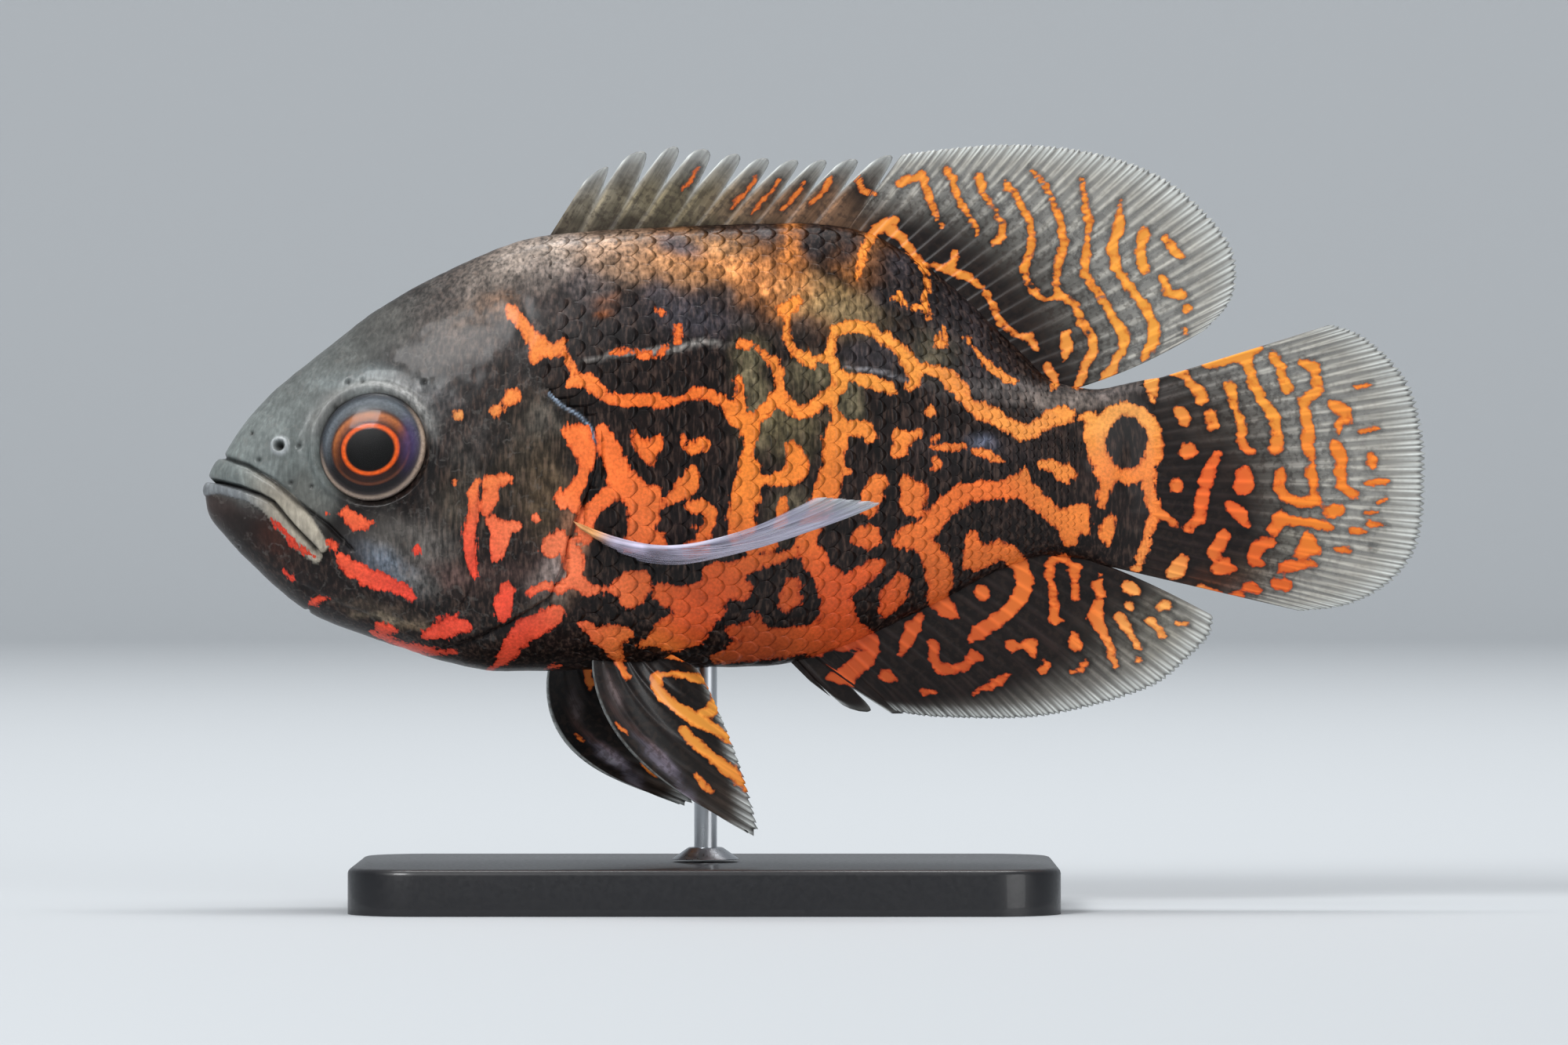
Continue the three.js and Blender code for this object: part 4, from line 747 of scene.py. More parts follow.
def small_forms(near):
    """Picks the flat grid's faces that lie within a distance of the head's lines, sockets and nostrils."""
    def wanted(t, share):
        s = body_station(t)
        h = section_point(s, angle_at(s, share))[1]
        close = np.minimum(to_line(s, h, MOUTH)[0], to_line(s, h, LIP_GROOVE)[0])
        close = np.where(s < 20, close, 9)
        if near > FINEST_NEAR:
            close = np.minimum(close, to_line(s, h, GILL_EDGE)[0] + 0.3)
            close = np.minimum(close, to_line(s, h, CHEEK_EDGE)[0] + 0.4)
            close = np.minimum(close, np.abs(np.hypot(s - EYE_AT[0], h - EYE_AT[1]) - EYE_RADIUS - 0.4))
            for pore in PORES:
                close = np.minimum(close, np.hypot(s - pore[0], h - pore[1]))
        close = np.minimum(close, np.hypot(s - NOSTRIL_AT[0], h - NOSTRIL_AT[1]) - near)
        return close < near
    return wanted


skin = grid_piece("skin", SKIN_ROWS, SKIN_SIDES)
finer(skin, small_forms(FINE_NEAR))
finer(skin, small_forms(FINEST_NEAR))
t, share = flat_places(skin)
s = body_station(t)
y, h = section_point(s, angle_at(s, share))
lift = relief(s, h) * ramp(t, 0, 0.004)
points = on_body(s, share, lift - SKIN_SINK)
snout = t < 1e-6
points[snout] = (SNOUT_X, 0, AXIS_Z - 1.5)
points = thin_tail(points, s)
points[t > 1 - 1e-6, 1] = 0
skin_length, skin_share = t, share
paint(skin.data, points)

# Lips have colours of their own, laid over the ground, and a pale band lies over the top of the rim round
# the eye. The mouth line, the groove above the upper lip, the socket round the eyeball, the nostrils, the
# pores and the creases along the gill cover and the cheek are darkened: painted shade in these creases and
# hollows.
LIP_PALE, LIP_CREAM, PAINTED_HOLLOW_SHADE, RIM_PALE = "#767A7D", "#A1998A", "#0C0909", "#8E8E8B"
layer = skin.data.attributes["ground"]
colours = np.empty(len(points) * 4, np.float32)
layer.data.foreach_get("color", colours)
colours = colours.reshape(-1, 4)


def tint(weight, code):
    """Lays a colour over the skin's ground with a weight for each point."""
    colours[:, :3] += weight[:, None] * (linear(code) - colours[:, :3])


upper, lower = rolled(s, h, UPPER_LIP), rolled(s, h, LOWER_LIP)
rear = ramp(s, 4, 12)
tint(0.75 * ramp(upper, 0.1, 0.7) * (1 - rear), "#6A706E")
tint(0.9 * ramp(upper, 0.1, 0.7) * rear, LIP_CREAM)
tint(0.9 * ramp(lower, 0.1, 0.6) * (1 - rear), LIP_PALE)
tint(0.9 * ramp(lower, 0.1, 0.6) * rear, LIP_CREAM)
# Painted shade along the mouth line and in the groove above the upper lip.
tint(crest(to_line(s, h, MOUTH)[0], 0.95, 0.3) * ramp(MOUTH_END - s, 0, 1.5), PAINTED_HOLLOW_SHADE)
tint(crest(to_line(s, h, LIP_GROOVE)[0], 0.85, 0.32), PAINTED_HOLLOW_SHADE)
eye = np.hypot(s - EYE_AT[0], h - EYE_AT[1])
tint(crest(eye - 8, 0.75, 0.9) * ramp(h - EYE_AT[1], -1, 5), RIM_PALE)
# Painted shade in the eye socket round the ball.
tint(0.9 * ramp(EYE_RADIUS - 0.1 - eye, 0, 0.4), PAINTED_HOLLOW_SHADE)
nostril = np.hypot(s - NOSTRIL_AT[0], h - NOSTRIL_AT[1])
# Painted shade in the nostril's hollow.
tint(crest(nostril, 0.95, 0.55), PAINTED_HOLLOW_SHADE)
tint(crest(nostril - 1, 0.5, 0.3), "#C3C7C9")
# Painted shade in each pore.
for a, b in PORES:
    tint(crest(np.hypot(s - a, h - b), 0.85, 0.3), PAINTED_HOLLOW_SHADE)
gill, ahead, along = to_line(s, h, GILL_EDGE)
# Painted shade in the crease under the gill cover's edge.
tint(crest(gill * ahead - 0.35, 0.8, 0.35) * ramp(along, 0.1, 0.2), "#0E0B0C")
tint(crest(gill * ahead + 0.15, 0.55, 0.16) * ramp(0.33 - along, 0, 0.06), "#9FB4CC")
cheek, _, along = to_line(s, h, CHEEK_EDGE)
# Painted shade in the crease along the cheek's edge.
tint(crest(cheek, 0.7, 0.22) * np.sin(math.pi * np.clip(along, 0, 1)) ** 0.5, "#0F0B0B")
layer.data.foreach_set("color", colours.ravel())
store(skin.data, "bare", 1 - ramp(s, 42, 50))
store(skin.data, "smooth", np.clip(1 - ramp(s, 20, 36) - 0.7 * ramp(-h, 6, 11), 0, 1))

# Moist fish hide, varnished as museum models are: dark pigment over silvery cells, so it is glossy under a
# clear film. Orange marks are crisp with a redder rim. Freckles are 0.3 mm and the grain is 0.15 mm, drawn
# at 0.8 mm and 0.4 mm so that they show.
GRAIN, FRECKLE, BLOTCH, STREAK, VEIN = 0.4, 0.8, 3.5, 0.45, 3.4  # mm
MIX = {"data_type": "RGBA"}
MULTIPLY = {"data_type": "RGBA", "blend_type": "MULTIPLY"}


def node(tree, kind, inputs=(), **settings):
    """Adds one shader node and gives its outputs. An input is linked where it is another node's output, and
    set where it is a plain value. Settings are the node's own."""
    made = tree.nodes.new("ShaderNode" + kind)
    for name, value in settings.items():
        setattr(made, name, value)
    for socket, value in dict(inputs).items():
        if isinstance(value, bpy.types.NodeSocket):
            tree.links.new(value, made.inputs[socket])
        else:
            made.inputs[socket].default_value = value
    return made.outputs


def hide_material(name, roughness, coat, bump):
    """Near-black hide with the fish's own markings."""
    material, tree, shader = new_material(name, GROUND, Roughness=roughness, Coat_Weight=coat,
                                          Coat_Roughness=0.14, IOR=1.4, Specular_IOR_Level=0.22)
    where = node(tree, "TexCoord")["Object"]
    drawn_up = node(tree, "Mapping", {"Vector": where, "Scale": (1, 1, 0.22)})[0]
    read = {key: node(tree, "Attribute", attribute_name=key)
            for key in ("mark", "hue", "ground", "bare", "smooth")}
    patterns = {}
    for key, place, size, detail in (
        ("grain", where, GRAIN, 2), ("freckle", where, FRECKLE, 3), ("blotch", where, BLOTCH, 4),
        ("streak", drawn_up, STREAK, 3), ("vein", where, VEIN, 5),
    ):
        sized = {"Vector": place, "Scale": 1 / (size * MM), "Detail": detail}
        patterns[key] = node(tree, "TexNoise", sized)["Fac"]
    spread = {}  # each pattern over the range in which it paints
    for key, pattern, low, high, to_low, to_high in (
        ("freckled edge", "freckle", 0.3, 0.7, -1.5, 1.5), ("streaked edge", "streak", 0.3, 0.7, -2.4, 2.4),
        ("blotches", "blotch", 0.25, 0.75, 0.5, 1.6), ("freckles", "freckle", 0.3, 0.66, 1.4, 0.6),
        ("streaks", "streak", 0.32, 0.7, 0.45, 1.9), ("faint blotches", "blotch", 0.2, 0.8, 0.88, 1.12),
        ("brown streaks", "streak", 0.5, 0.72, 0, 0.34), ("vein gaps", "freckle", 0.42, 0.6, 0, 1),
        ("orange grain", "grain", 0.3, 0.7, 0.8, 1.16), ("orange blotches", "blotch", 0.3, 0.7, 0.82, 1.12),
    ):
        ranged = {0: patterns[pattern], 1: low, 2: high, 3: to_low, 4: to_high}
        spread[key] = node(tree, "MapRange", ranged)[0]

    ragged = node(tree, "Math", {0: spread["freckled edge"], 1: spread["streaked edge"]}, operation="ADD")[0]
    edge = node(tree, "Math", {0: read["mark"]["Fac"], 1: ragged}, operation="ADD")[0]

    ground = read["ground"]["Color"]
    dark = ground
    for key in ("blotches", "freckles", "streaks"):
        dark = node(tree, "Mix", {0: 1.0, 6: dark, 7: spread[key]}, **MULTIPLY)[2]
    plain = node(tree, "Mix", {0: 1.0, 6: ground, 7: spread["faint blotches"]}, **MULTIPLY)[2]
    smooth = node(tree, "MapRange", {0: read["smooth"]["Fac"], 3: 0, 4: 0.72})[0]
    dark = node(tree, "Mix", {0: smooth, 6: dark, 7: plain}, **MIX)[2]
    rough = node(tree, "MapRange", {0: read["smooth"]["Fac"], 3: 1, 4: 0})[0]
    brown = node(tree, "Math", {0: rough, 1: spread["brown streaks"]}, operation="MULTIPLY")[0]
    dark = node(tree, "Mix", {0: brown, 6: dark, 7: (*linear("#6A5448"), 1)}, **MIX)[2]

    off_vein = node(tree, "Math", {0: patterns["vein"], 1: 0.5}, operation="SUBTRACT")[0]
    off_vein = node(tree, "Math", {0: off_vein}, operation="ABSOLUTE")[0]
    veined = node(tree, "MapRange", {0: off_vein, 1: 0.01, 2: 0.03, 3: 0.1, 4: 0})[0]
    for limit in (read["bare"]["Fac"], spread["vein gaps"]):
        veined = node(tree, "Math", {0: veined, 1: limit}, operation="MULTIPLY")[0]
    dark = node(tree, "Mix", {0: veined, 6: dark, 7: (*linear("#A7A09A"), 1)}, **MIX)[2]

    redder = node(tree, "Mix", {0: 1.0, 6: read["hue"]["Color"], 7: (0.66, 0.42, 0.34, 1)}, **MULTIPLY)[2]
    inward = node(tree, "MapRange", {0: edge, 1: 0, 2: 4})[0]
    orange = node(tree, "Mix", {0: inward, 6: redder, 7: read["hue"]["Color"]}, **MIX)[2]
    for key in ("orange grain", "orange blotches"):
        orange = node(tree, "Mix", {0: 1.0, 6: orange, 7: spread[key]}, **MULTIPLY)[2]
    inside = node(tree, "MapRange", {0: edge, 1: -0.9, 2: 0.9})[0]
    colour = node(tree, "Mix", {0: inside, 6: dark, 7: orange}, **MIX)[2]
    tree.links.new(colour, shader.inputs["Base Color"])

    height = node(tree, "Math", {0: patterns["grain"], 1: patterns["streak"]}, operation="ADD")[0]
    raised = node(tree, "Bump", {"Height": height, "Strength": bump, "Distance": 0.05 * MM})["Normal"]
    tree.links.new(raised, shader.inputs["Normal"])
    return material


moist_hide = hide_material("moist_fish_hide", 0.45, 0.14, 0.4)
skin.data.materials.append(moist_hide)
corners = np.empty(len(skin.data.loops), np.int32)
skin.data.loops.foreach_get("vertex_index", corners)
unwrap = skin.data.uv_layers.new(name="OFBake")
flat = np.stack([skin_length[corners], skin_share[corners]], 1)
unwrap.data.foreach_set("uv", flat.astype(np.float32).ravel())
settle(skin, points)
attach(skin, "root")
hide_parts("head", "lower_jaw", "gill_cover_left", "gill_cover_right", "torso", "tail_stalk")

# The scales, thin horny plates set in the hide in slanting rows, each lying over the front of the next one
# behind. Every scale is modelled alike as a rounded lens, repeated, and laid along each side of the body in
# two joined coats.
SCALE_SPANS = {"front": (29.5, 76.0), "rear": (76.0, 124.0)}  # mm behind the snout
SCALE_ROWS, SCALE_CELLS = 27, 6
COLUMN_STEP, HALF_LONG, HALF_WIDE = 0.9, 0.95, 0.68  # in pitches, the height of one row
FULL_PITCH = 2.3  # mm, above which a scale is as thick as any
ROOT_DEPTH, EDGE_RISE, SCALE_THICK = -0.14, 0.02, 0.06  # mm
SUNK, FIRST_SUNK = 0.11, 0.12  # mm that scales lie under the skin where they end
PATCH = 0.0015  # half the side of each scale's patch on the OFBake map


def scale_stations():
    """Where each upright column of scales is rooted: scales get smaller towards the tail."""
    at, stations = SCALE_SPANS["front"][0], []
    while at < SCALE_SPANS["rear"][1]:
        stations.append(at)
        girth = np.interp(at, GIRTH_STATIONS, half_girth)
        at += COLUMN_STEP * girth / SCALE_ROWS
    return stations


def scale_coat(side, span):
    """The joined scales of one side and one span of the body."""
    roots = []
    for column, at in enumerate(scale_stations()):
        if not SCALE_SPANS[span][0] <= at < SCALE_SPANS[span][1]:
            continue
        pitch = np.interp(at, GIRTH_STATIONS, half_girth) / SCALE_ROWS
        for row in range(SCALE_ROWS):
            share = (row + 0.25 + 0.5 * (column % 2)) / SCALE_ROWS
            h = section_point(at, angle_at(at, share / 2))[1]
            near, ahead = to_line(np.array([at]), np.array([h]), GILL_EDGE)[:2]
            behind_cover = at > 52 or (ahead[0] > 0 and near[0] > 0.9)
            nape = h > 11 + 0.9 * max(0, 44 - at) and near[0] > 1.7
            if 0.02 < share < 0.985 and (behind_cover and at > 45 or nape):
                roots.append((at, share / 2, pitch))
    roots = np.array(roots)
    piece = grid_piece("scales_%s_%s" % (side, span), SCALE_CELLS, SCALE_CELLS)
    bpy.ops.object.mode_set(mode="EDIT")
    bpy.ops.mesh.select_all(action="SELECT")
    bpy.ops.mesh.duplicate()
    bpy.ops.transform.translate(value=(0, 0, -0.1))
    bpy.ops.mesh.flip_normals()
    bpy.ops.object.mode_set(mode="OBJECT")
    repeat = piece.modifiers.new("rows", "ARRAY")
    repeat.count = len(roots)
    repeat.use_relative_offset = False
    repeat.use_constant_offset = True
    repeat.constant_offset_displace = (0, 0, 1)
    bpy.ops.object.modifier_apply(modifier="rows")
    flat = np.empty(len(piece.data.vertices) * 3, np.float32)
    piece.data.vertices.foreach_get("co", flat)
    flat = flat.reshape(-1, 3).astype(float)
    number = np.rint(flat[:, 2]).astype(int)
    under = flat[:, 2] - number < -0.05
    a, b = 2 * flat[:, 0], 2 * flat[:, 1]
    root, share, pitch = roots[np.clip(number, 0, len(roots) - 1)].T
    wide = np.sqrt(np.clip(1 - 0.5 * a * a * np.where(a > 0, 1.3, 0.2), 0.05, 1))
    rounded = 1 - 0.3 * b * b * (a + 1) / 2
    body = np.clip(1 - np.maximum(np.abs(a), np.abs(b)) ** 6, 0, 1)
    along = 0.5 + HALF_LONG * a * rounded
    girth = np.interp(root, GIRTH_STATIONS, half_girth)
    at = np.clip(root + along * pitch, 0, BODY_LENGTH - 0.5)
    place_share = np.clip(share + HALF_WIDE * b * wide * pitch / girth / 2, 0.001, 0.499)
    grown = ramp(root, SCALE_SPANS["front"][0], 57) * ramp(126.5 - root, 4, 26)
    lift = ROOT_DEPTH + (EDGE_RISE - ROOT_DEPTH) * (a + 1) / 2 - 0.03 * b * b
    lift = (lift + np.where(under, -0.5, 0.5) * SCALE_THICK * body) * np.minimum(pitch / FULL_PITCH, 1)
    lift = lift * grown - SUNK * (1 - grown) - FIRST_SUNK * (1 - grown) ** 4
    if side == "right":
        place_share = 1 - place_share
    points = on_body(at, place_share, lift)
    points = thin_tail(points, at)
    paint(piece.data, points)
    store(piece.data, "bare", 0 * a)
    store(piece.data, "smooth", 0 * a)
    corners = np.empty(len(piece.data.loops), np.int32)
    piece.data.loops.foreach_get("vertex_index", corners)
    u = root / BODY_LENGTH + PATCH * a
    v = (share if side == "left" else 1 - share) + PATCH * b
    unwrap = piece.data.uv_layers.new(name="OFBake")
    unwrap.data.foreach_set("uv", np.stack([u[corners], v[corners]], 1).astype(np.float32).ravel())
    piece.data.materials.append(scale_horn)
    settle(piece, points)
    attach(piece, "root")


# Clear horn over the same pigment, as in life: a little glossier than the bare head, with finer bumps.
scale_horn = hide_material("clear_horn_scales", 0.42, 0.14, 0.3)
for side in ("left", "right"):
    for span in SCALE_SPANS:
        scale_coat(side, span)

# The eyes: a glass ball such as a taxidermist sets, painted behind and set in its socket. A black pupil in a
# thin orange ring, a brown iris and a dark slate rim that is pale below, under a clear bulging cornea.
IRIS_COLOURS = [  # share of the radius, then the colour above and below
    (0, "#020202", "#020202"), (0.385, "#020202", "#020202"), (0.4, "#2A0D06", "#2A0D06"),
    (0.43, "#F0641E", "#F0641E"), (0.475, "#E85A1A", "#E85A1A"), (0.5, "#3A1A10", "#2A110A"),
    (0.56, "#8A4A28", "#2A1510"), (0.64, "#B86A38", "#2A1712"), (0.69, "#4A2A1C", "#6A3A24"),
    (0.73, "#54585C", "#120E10"), (0.84, "#6C7278", "#141012"), (0.9, "#4A5056", "#3A3230"),
    (0.95, "#3A3C40", "#A89484"), (1, "#2A2A2C", "#6A5E58"),
]
PUPIL_OFFSET = (0.0, -0.11)  # the pupil sits low in the ball, as a share of the radius
EYE_RINGS, EYE_SPOKES, EYE_DOME = 60, 96, 2.3
CORNEA_RINGS, CORNEA_SPOKES = 40, 64
BALL_FRONT, BALL_SIDE = 0.8, 0.06  # shares of the ball's rings: its front, then the wall behind the front
BALL_DEPTH = 1.8  # mm under the skin
IRIS_FIBRE = 0.35  # mm


def eye_frame(side):
    """Centre of the eye on the skin, and its directions: back along the fish, up and out."""
    at, height = EYE_AT
    shares = np.linspace(0.02, 0.48, 400)
    heights = section_point(at, angle_at(np.full(400, at), shares))[1]
    share = np.interp(height, heights, shares)
    y, h = section_point(at, angle_at(np.array([at]), np.array([share])))
    out = outward(np.array([at]), y, h)[0]
    sign = 1 if side == "left" else -1
    centre = np.array([SNOUT_X + at, sign * y[0], AXIS_Z + h[0]])
    out = out * (1, sign, 1)
    up = np.array([0, 0, 1]) - out * out[2]
    up /= np.linalg.norm(up)
    backwards = np.array([1, 0, 0]) - out * out[0]
    backwards /= np.linalg.norm(backwards)
    return centre, backwards, up, out


def eye_piece(name, side, rings, spokes, profile):
    """A round piece of the eye. Its profile gives radius and height (mm) for a share from middle to root."""
    centre, backwards, up, out = eye_frame(side)
    piece = grid_piece(name, rings, spokes)
    ring, turn = flat_places(piece)
    radius, height = profile(ring)
    c, s = radius * np.cos(2 * math.pi * turn), radius * np.sin(2 * math.pi * turn)
    points = centre + c[:, None] * backwards + s[:, None] * up + height[:, None] * out
    return piece, points, c / EYE_RADIUS, s / EYE_RADIUS


def ball_profile(ring):
    """The painted ball: a shallow dome, with the pupil's lens standing out, closed behind."""
    front = np.clip(ring / BALL_FRONT, 0, 1)
    closing = np.clip((1 - ring) / (1 - BALL_FRONT), 0, 1)
    wall = np.clip((ring - BALL_FRONT) / BALL_SIDE, 0, 1)
    dome = 0.1 + EYE_DOME * 0.72 * np.sqrt(np.clip(1 - front ** 2, 0, 1)) ** 1.2
    radius = EYE_RADIUS * np.where(ring < BALL_FRONT, front, closing)
    return radius, np.where(ring < BALL_FRONT, dome, -BALL_DEPTH * wall)


def cornea_profile(ring):
    """The clear cornea: a thin shell that rises over the ball, with an inner wall under it."""
    front = np.clip(np.where(ring < 0.5, ring, 1 - ring) * 2, 0, 1)
    height = EYE_DOME * np.sqrt(np.clip(1 - (front * 0.995) ** 2, 0, 1))
    return (EYE_RADIUS - 0.05) * front, np.where(ring < 0.5, height + 0.16, height * 0.9 + 0.1)


# Paint under cast glass: even colour with fine fibres round the pupil, and a soft gloss of its own.
eyeball_paint, tree, shader = new_material("painted_glass_eye", "#101010", Roughness=0.4, Coat_Weight=0.06,
                                           Specular_IOR_Level=0.2)
colour = node(tree, "Attribute", attribute_name="iris")["Color"]
where = node(tree, "TexCoord")["Object"]
fibre = node(tree, "TexNoise", {"Vector": where, "Scale": 1 / (IRIS_FIBRE * MM), "Detail": 3})["Fac"]
fibre = node(tree, "MapRange", {0: fibre, 1: 0.3, 2: 0.7, 3: 0.75, 4: 1.2})[0]
streaked = node(tree, "Mix", {0: 1.0, 6: colour, 7: fibre}, **MULTIPLY)[2]
tree.links.new(streaked, shader.inputs["Base Color"])

# Polished clear resin, all but invisible: it adds the sharp wet highlight.
clear_cornea = new_material("clear_cornea", "#000000", Roughness=0.04, Alpha=0.05, IOR=1.6)[0]
radii = np.array([r for r, _, _ in IRIS_COLOURS])
above_colours = np.array([linear(code) for _, code, _ in IRIS_COLOURS])
below_colours = np.array([linear(code) for _, _, code in IRIS_COLOURS])
for side in ("left", "right"):
    ball, points, across, up = eye_piece("eyeball_" + side, side, EYE_RINGS, EYE_SPOKES, ball_profile)
    out = np.hypot(across, up)
    pull = np.clip(1 - out, 0, 1) ** 0.5
    seen = np.hypot((across - PUPIL_OFFSET[0] * pull) / 1.12, (up - PUPIL_OFFSET[1] * pull))
    seen = seen * (1 - ramp(out, 0.5, 0.9)) + out * ramp(out, 0.5, 0.9)
    side_up = ramp(up + 0.25 * -across, -0.35, 0.45)[:, None]
    top = np.stack([np.interp(seen, radii, above_colours[:, i]) for i in range(3)], 1)
    low = np.stack([np.interp(seen, radii, below_colours[:, i]) for i in range(3)], 1)
    iris = low * (1 - side_up) + top * side_up
    violet = (ramp(across, 0.45, 0.7) * ramp(0.95 - out, 0, 0.15) * crest(up - 0.1, 1, 0.5))[:, None]
    iris = iris * (1 - 0.75 * violet) + linear("#4A3C66") * 0.75 * violet
    beige = (ramp(across, 0.5, 0.8) * ramp(out, 0.9, 0.95) * crest(up - 0.1, 1, 0.6))[:, None]
    iris = iris * (1 - 0.8 * beige) + linear("#B8A08C") * 0.8 * beige
    store(ball.data, "iris", iris)
    ball.data.materials.append(eyeball_paint)
    settle(ball, points)
    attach(ball, "root")
    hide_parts("eye_" + side)
    cornea, points = eye_piece("cornea_" + side, side, CORNEA_RINGS, CORNEA_SPOKES, cornea_profile)[:2]
    cornea.data.materials.append(clear_cornea)
    settle(cornea, points)
    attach(cornea, "root")

# The soft upright fins on back, belly and tail: a double web of thin skin on bony rays, rooted in the
# muscle. Rays start thick, fork twice on the way out and fray the edge. Near the body the web is dark hide
# with orange bars, and further out it is clear grey.
RAY_COLUMNS, FIN_ROWS = 12, 40


def smooth_line(points):
    """A smooth line through points, read by a share of its length."""
    p = np.array(points, float)
    p = np.concatenate([p[:1], p, p[-1:]])
    dense = []
    for i in range(1, len(p) - 2):
        t = np.linspace(0, 1, 40, endpoint=False)[:, None]
        v0, v1 = (p[i + 1] - p[i - 1]) / 2, (p[i + 2] - p[i]) / 2
        dense.append((2 * p[i] - 2 * p[i + 1] + v0 + v1) * t ** 3
                     + (3 * p[i + 1] - 3 * p[i] - 2 * v0 - v1) * t ** 2 + v0 * t + p[i])
    dense = np.concatenate(dense + [p[-1:]])
    far = np.concatenate([[0], np.cumsum(np.hypot(*np.diff(dense, axis=0).T))])
    return lambda share: np.stack([np.interp(share * far[-1], far, dense[:, k]) for k in (0, 1)], -1)


def ray_height(place, v, forks=True):
    """How high the web stands at a place counted in rays: 1 on a ray, which forks on the way out."""
    near = place - np.rint(place)
    first = 0.24 * ramp(v, 0.42, 0.85) if forks else 0 * v
    second = 0.11 * ramp(v, 0.68, 1.0) if forks else 0 * v
    width = 0.17 - 0.1 * ramp(v, 0.3, 0.9) if forks else 0.13 - 0.05 * v
    height = np.zeros(np.shape(near))
    for one in (-1, 1):
        for two in (-1, 1):
            off = near - one * first - two * second
            height = np.maximum(height, np.exp(-(off / width) ** 2))
    return height


def fin_piece(name, rays, place_at, web=(0.34, 0.12), ray=(0.2, 0.07), forks=True, paler=0.0):
    """A fin: both faces from one flat grid, folded at the last ray, whose rays stand out of each face."""
    columns = (rays - 1) * RAY_COLUMNS
    piece = grid_piece(name, 2 * columns, FIN_ROWS)
    fold, v = flat_places(piece)
    side = np.where(fold < 0.5, -1.0, 1.0)
    u = np.where(fold < 0.5, 2 * fold, 2 - 2 * fold)
    ridge = ray_height(u * (rays - 1), v, forks)
    middle, facing = place_at(u, v, ridge)
    half = web[0] + (web[1] - web[0]) * v + (ray[0] + (ray[1] - ray[0]) * v) * ridge
    closing = np.sqrt(np.clip(1 - (2 * v - 1) ** 16, 0, 1)) * np.sqrt(np.clip(1 - (2 * u - 1) ** 80, 0, 1))
    points = middle + (side * half * closing)[:, None] * facing
    store(piece.data, "ray", ridge * (1 - paler * ramp(u, 0.12, 0.55)))
    store(piece.data, "out", v)
    store(piece.data, "place", 20 * u)
    return piece, points, u, v, ridge


def upright(root, edge, sway, turns=1.0, fray=0.02, lean=0.0):
    """Places a fin on the midline between its root and its edge, swaying gently to the sides."""
    root_at, edge_at = smooth_line(root), smooth_line(edge)

    def place_at(u, v, ridge):
        reach = v * (1 - fray * (1 - ridge) * v ** 3)
        start, end = root_at(u), edge_at(u)
        p = start + (end - start) * reach[:, None]
        chord = end - start
        bend = lean * ramp(u, 0, 0.25) * np.sin(math.pi * v) / np.hypot(*chord.T)
        y = sway * v * v * np.sin(math.pi * turns * u)
        x = SNOUT_X + p[:, 0] + chord[:, 1] * bend
        z = AXIS_Z + p[:, 1] - chord[:, 0] * bend
        return np.stack([x, y, z], 1), np.tile([0.0, 1.0, 0.0], (len(u), 1))

    return place_at


FIN_GREY, FIN_DARK, FIN_EDGE = "#A3A098", "#1B1210", "#CFD4D2"
WEB_FLECK = 0.7  # mm
FIN_CLOUDS = [
    (760, 262, 60, 40, 0, "#948A76", 0.9), (880, 255, 110, 44, 0, "#84795F", 0.9),
    (1030, 262, 110, 34, 0, "#8B674C", 0.9), (820, 285, 150, 12, 0, "#463C2F", 0.65),
    (1120, 255, 46, 36, 0, "#4A3A2E", 0.9), (1190, 285, 90, 66, 40, "#1E1513", 0.9),
    (1290, 320, 60, 40, 50, "#2E2621", 0.7), (1350, 390, 70, 40, 50, "#2A221E", 0.75),
    (1400, 440, 60, 40, 60, "#332B27", 0.7), (1160, 240, 40, 20, 0, "#554C45", 0.6),
    (1520, 560, 90, 100, 0, "#1B1312", 0.9), (1570, 660, 110, 90, 0, "#1B1211", 0.92),
    (1650, 610, 80, 60, 0, "#372A23", 0.8), (1590, 530, 90, 46, 0, "#4C443E", 0.75),
    (1560, 480, 80, 20, -15, "#6E6965", 0.7), (1690, 560, 60, 60, 0, "#605A54", 0.6),
    (1640, 740, 70, 22, 0, "#5E4A38", 0.75), (1570, 752, 70, 16, 10, "#4A2718", 0.8),
    (1700, 700, 60, 40, 0, "#7C755F", 0.6), (1760, 620, 50, 110, 0, "#8B8F84", 0.5),
    (1440, 815, 60, 44, -20, "#59524A", 0.55), (1500, 820, 50, 50, 0, "#7A735E", 0.65),
]
PELVIC_CLOUDS = [
    (790, 900, 110, 130, 40, "#0D0909", 0.99), (850, 960, 90, 120, 40, "#15100F", 0.97),
    (900, 1020, 60, 60, 45, "#2C231D", 0.9), (860, 833, 44, 6, 12, "#B48A6C", 0.8),
    (898, 868, 16, 22, 40, "#C99670", 0.85), (915, 915, 12, 34, 20, "#9C8270", 0.8),
    (930, 985, 16, 50, 20, "#7C6F64", 0.75), (822, 975, 46, 7, 50, "#8C8494", 0.8),
    (768, 880, 8, 34, -24, "#5C5050", 0.7), (945, 1030, 18, 30, 20, "#6E6258", 0.7),
    (790, 930, 60, 4, 52, "#4A3430", 0.7),
]


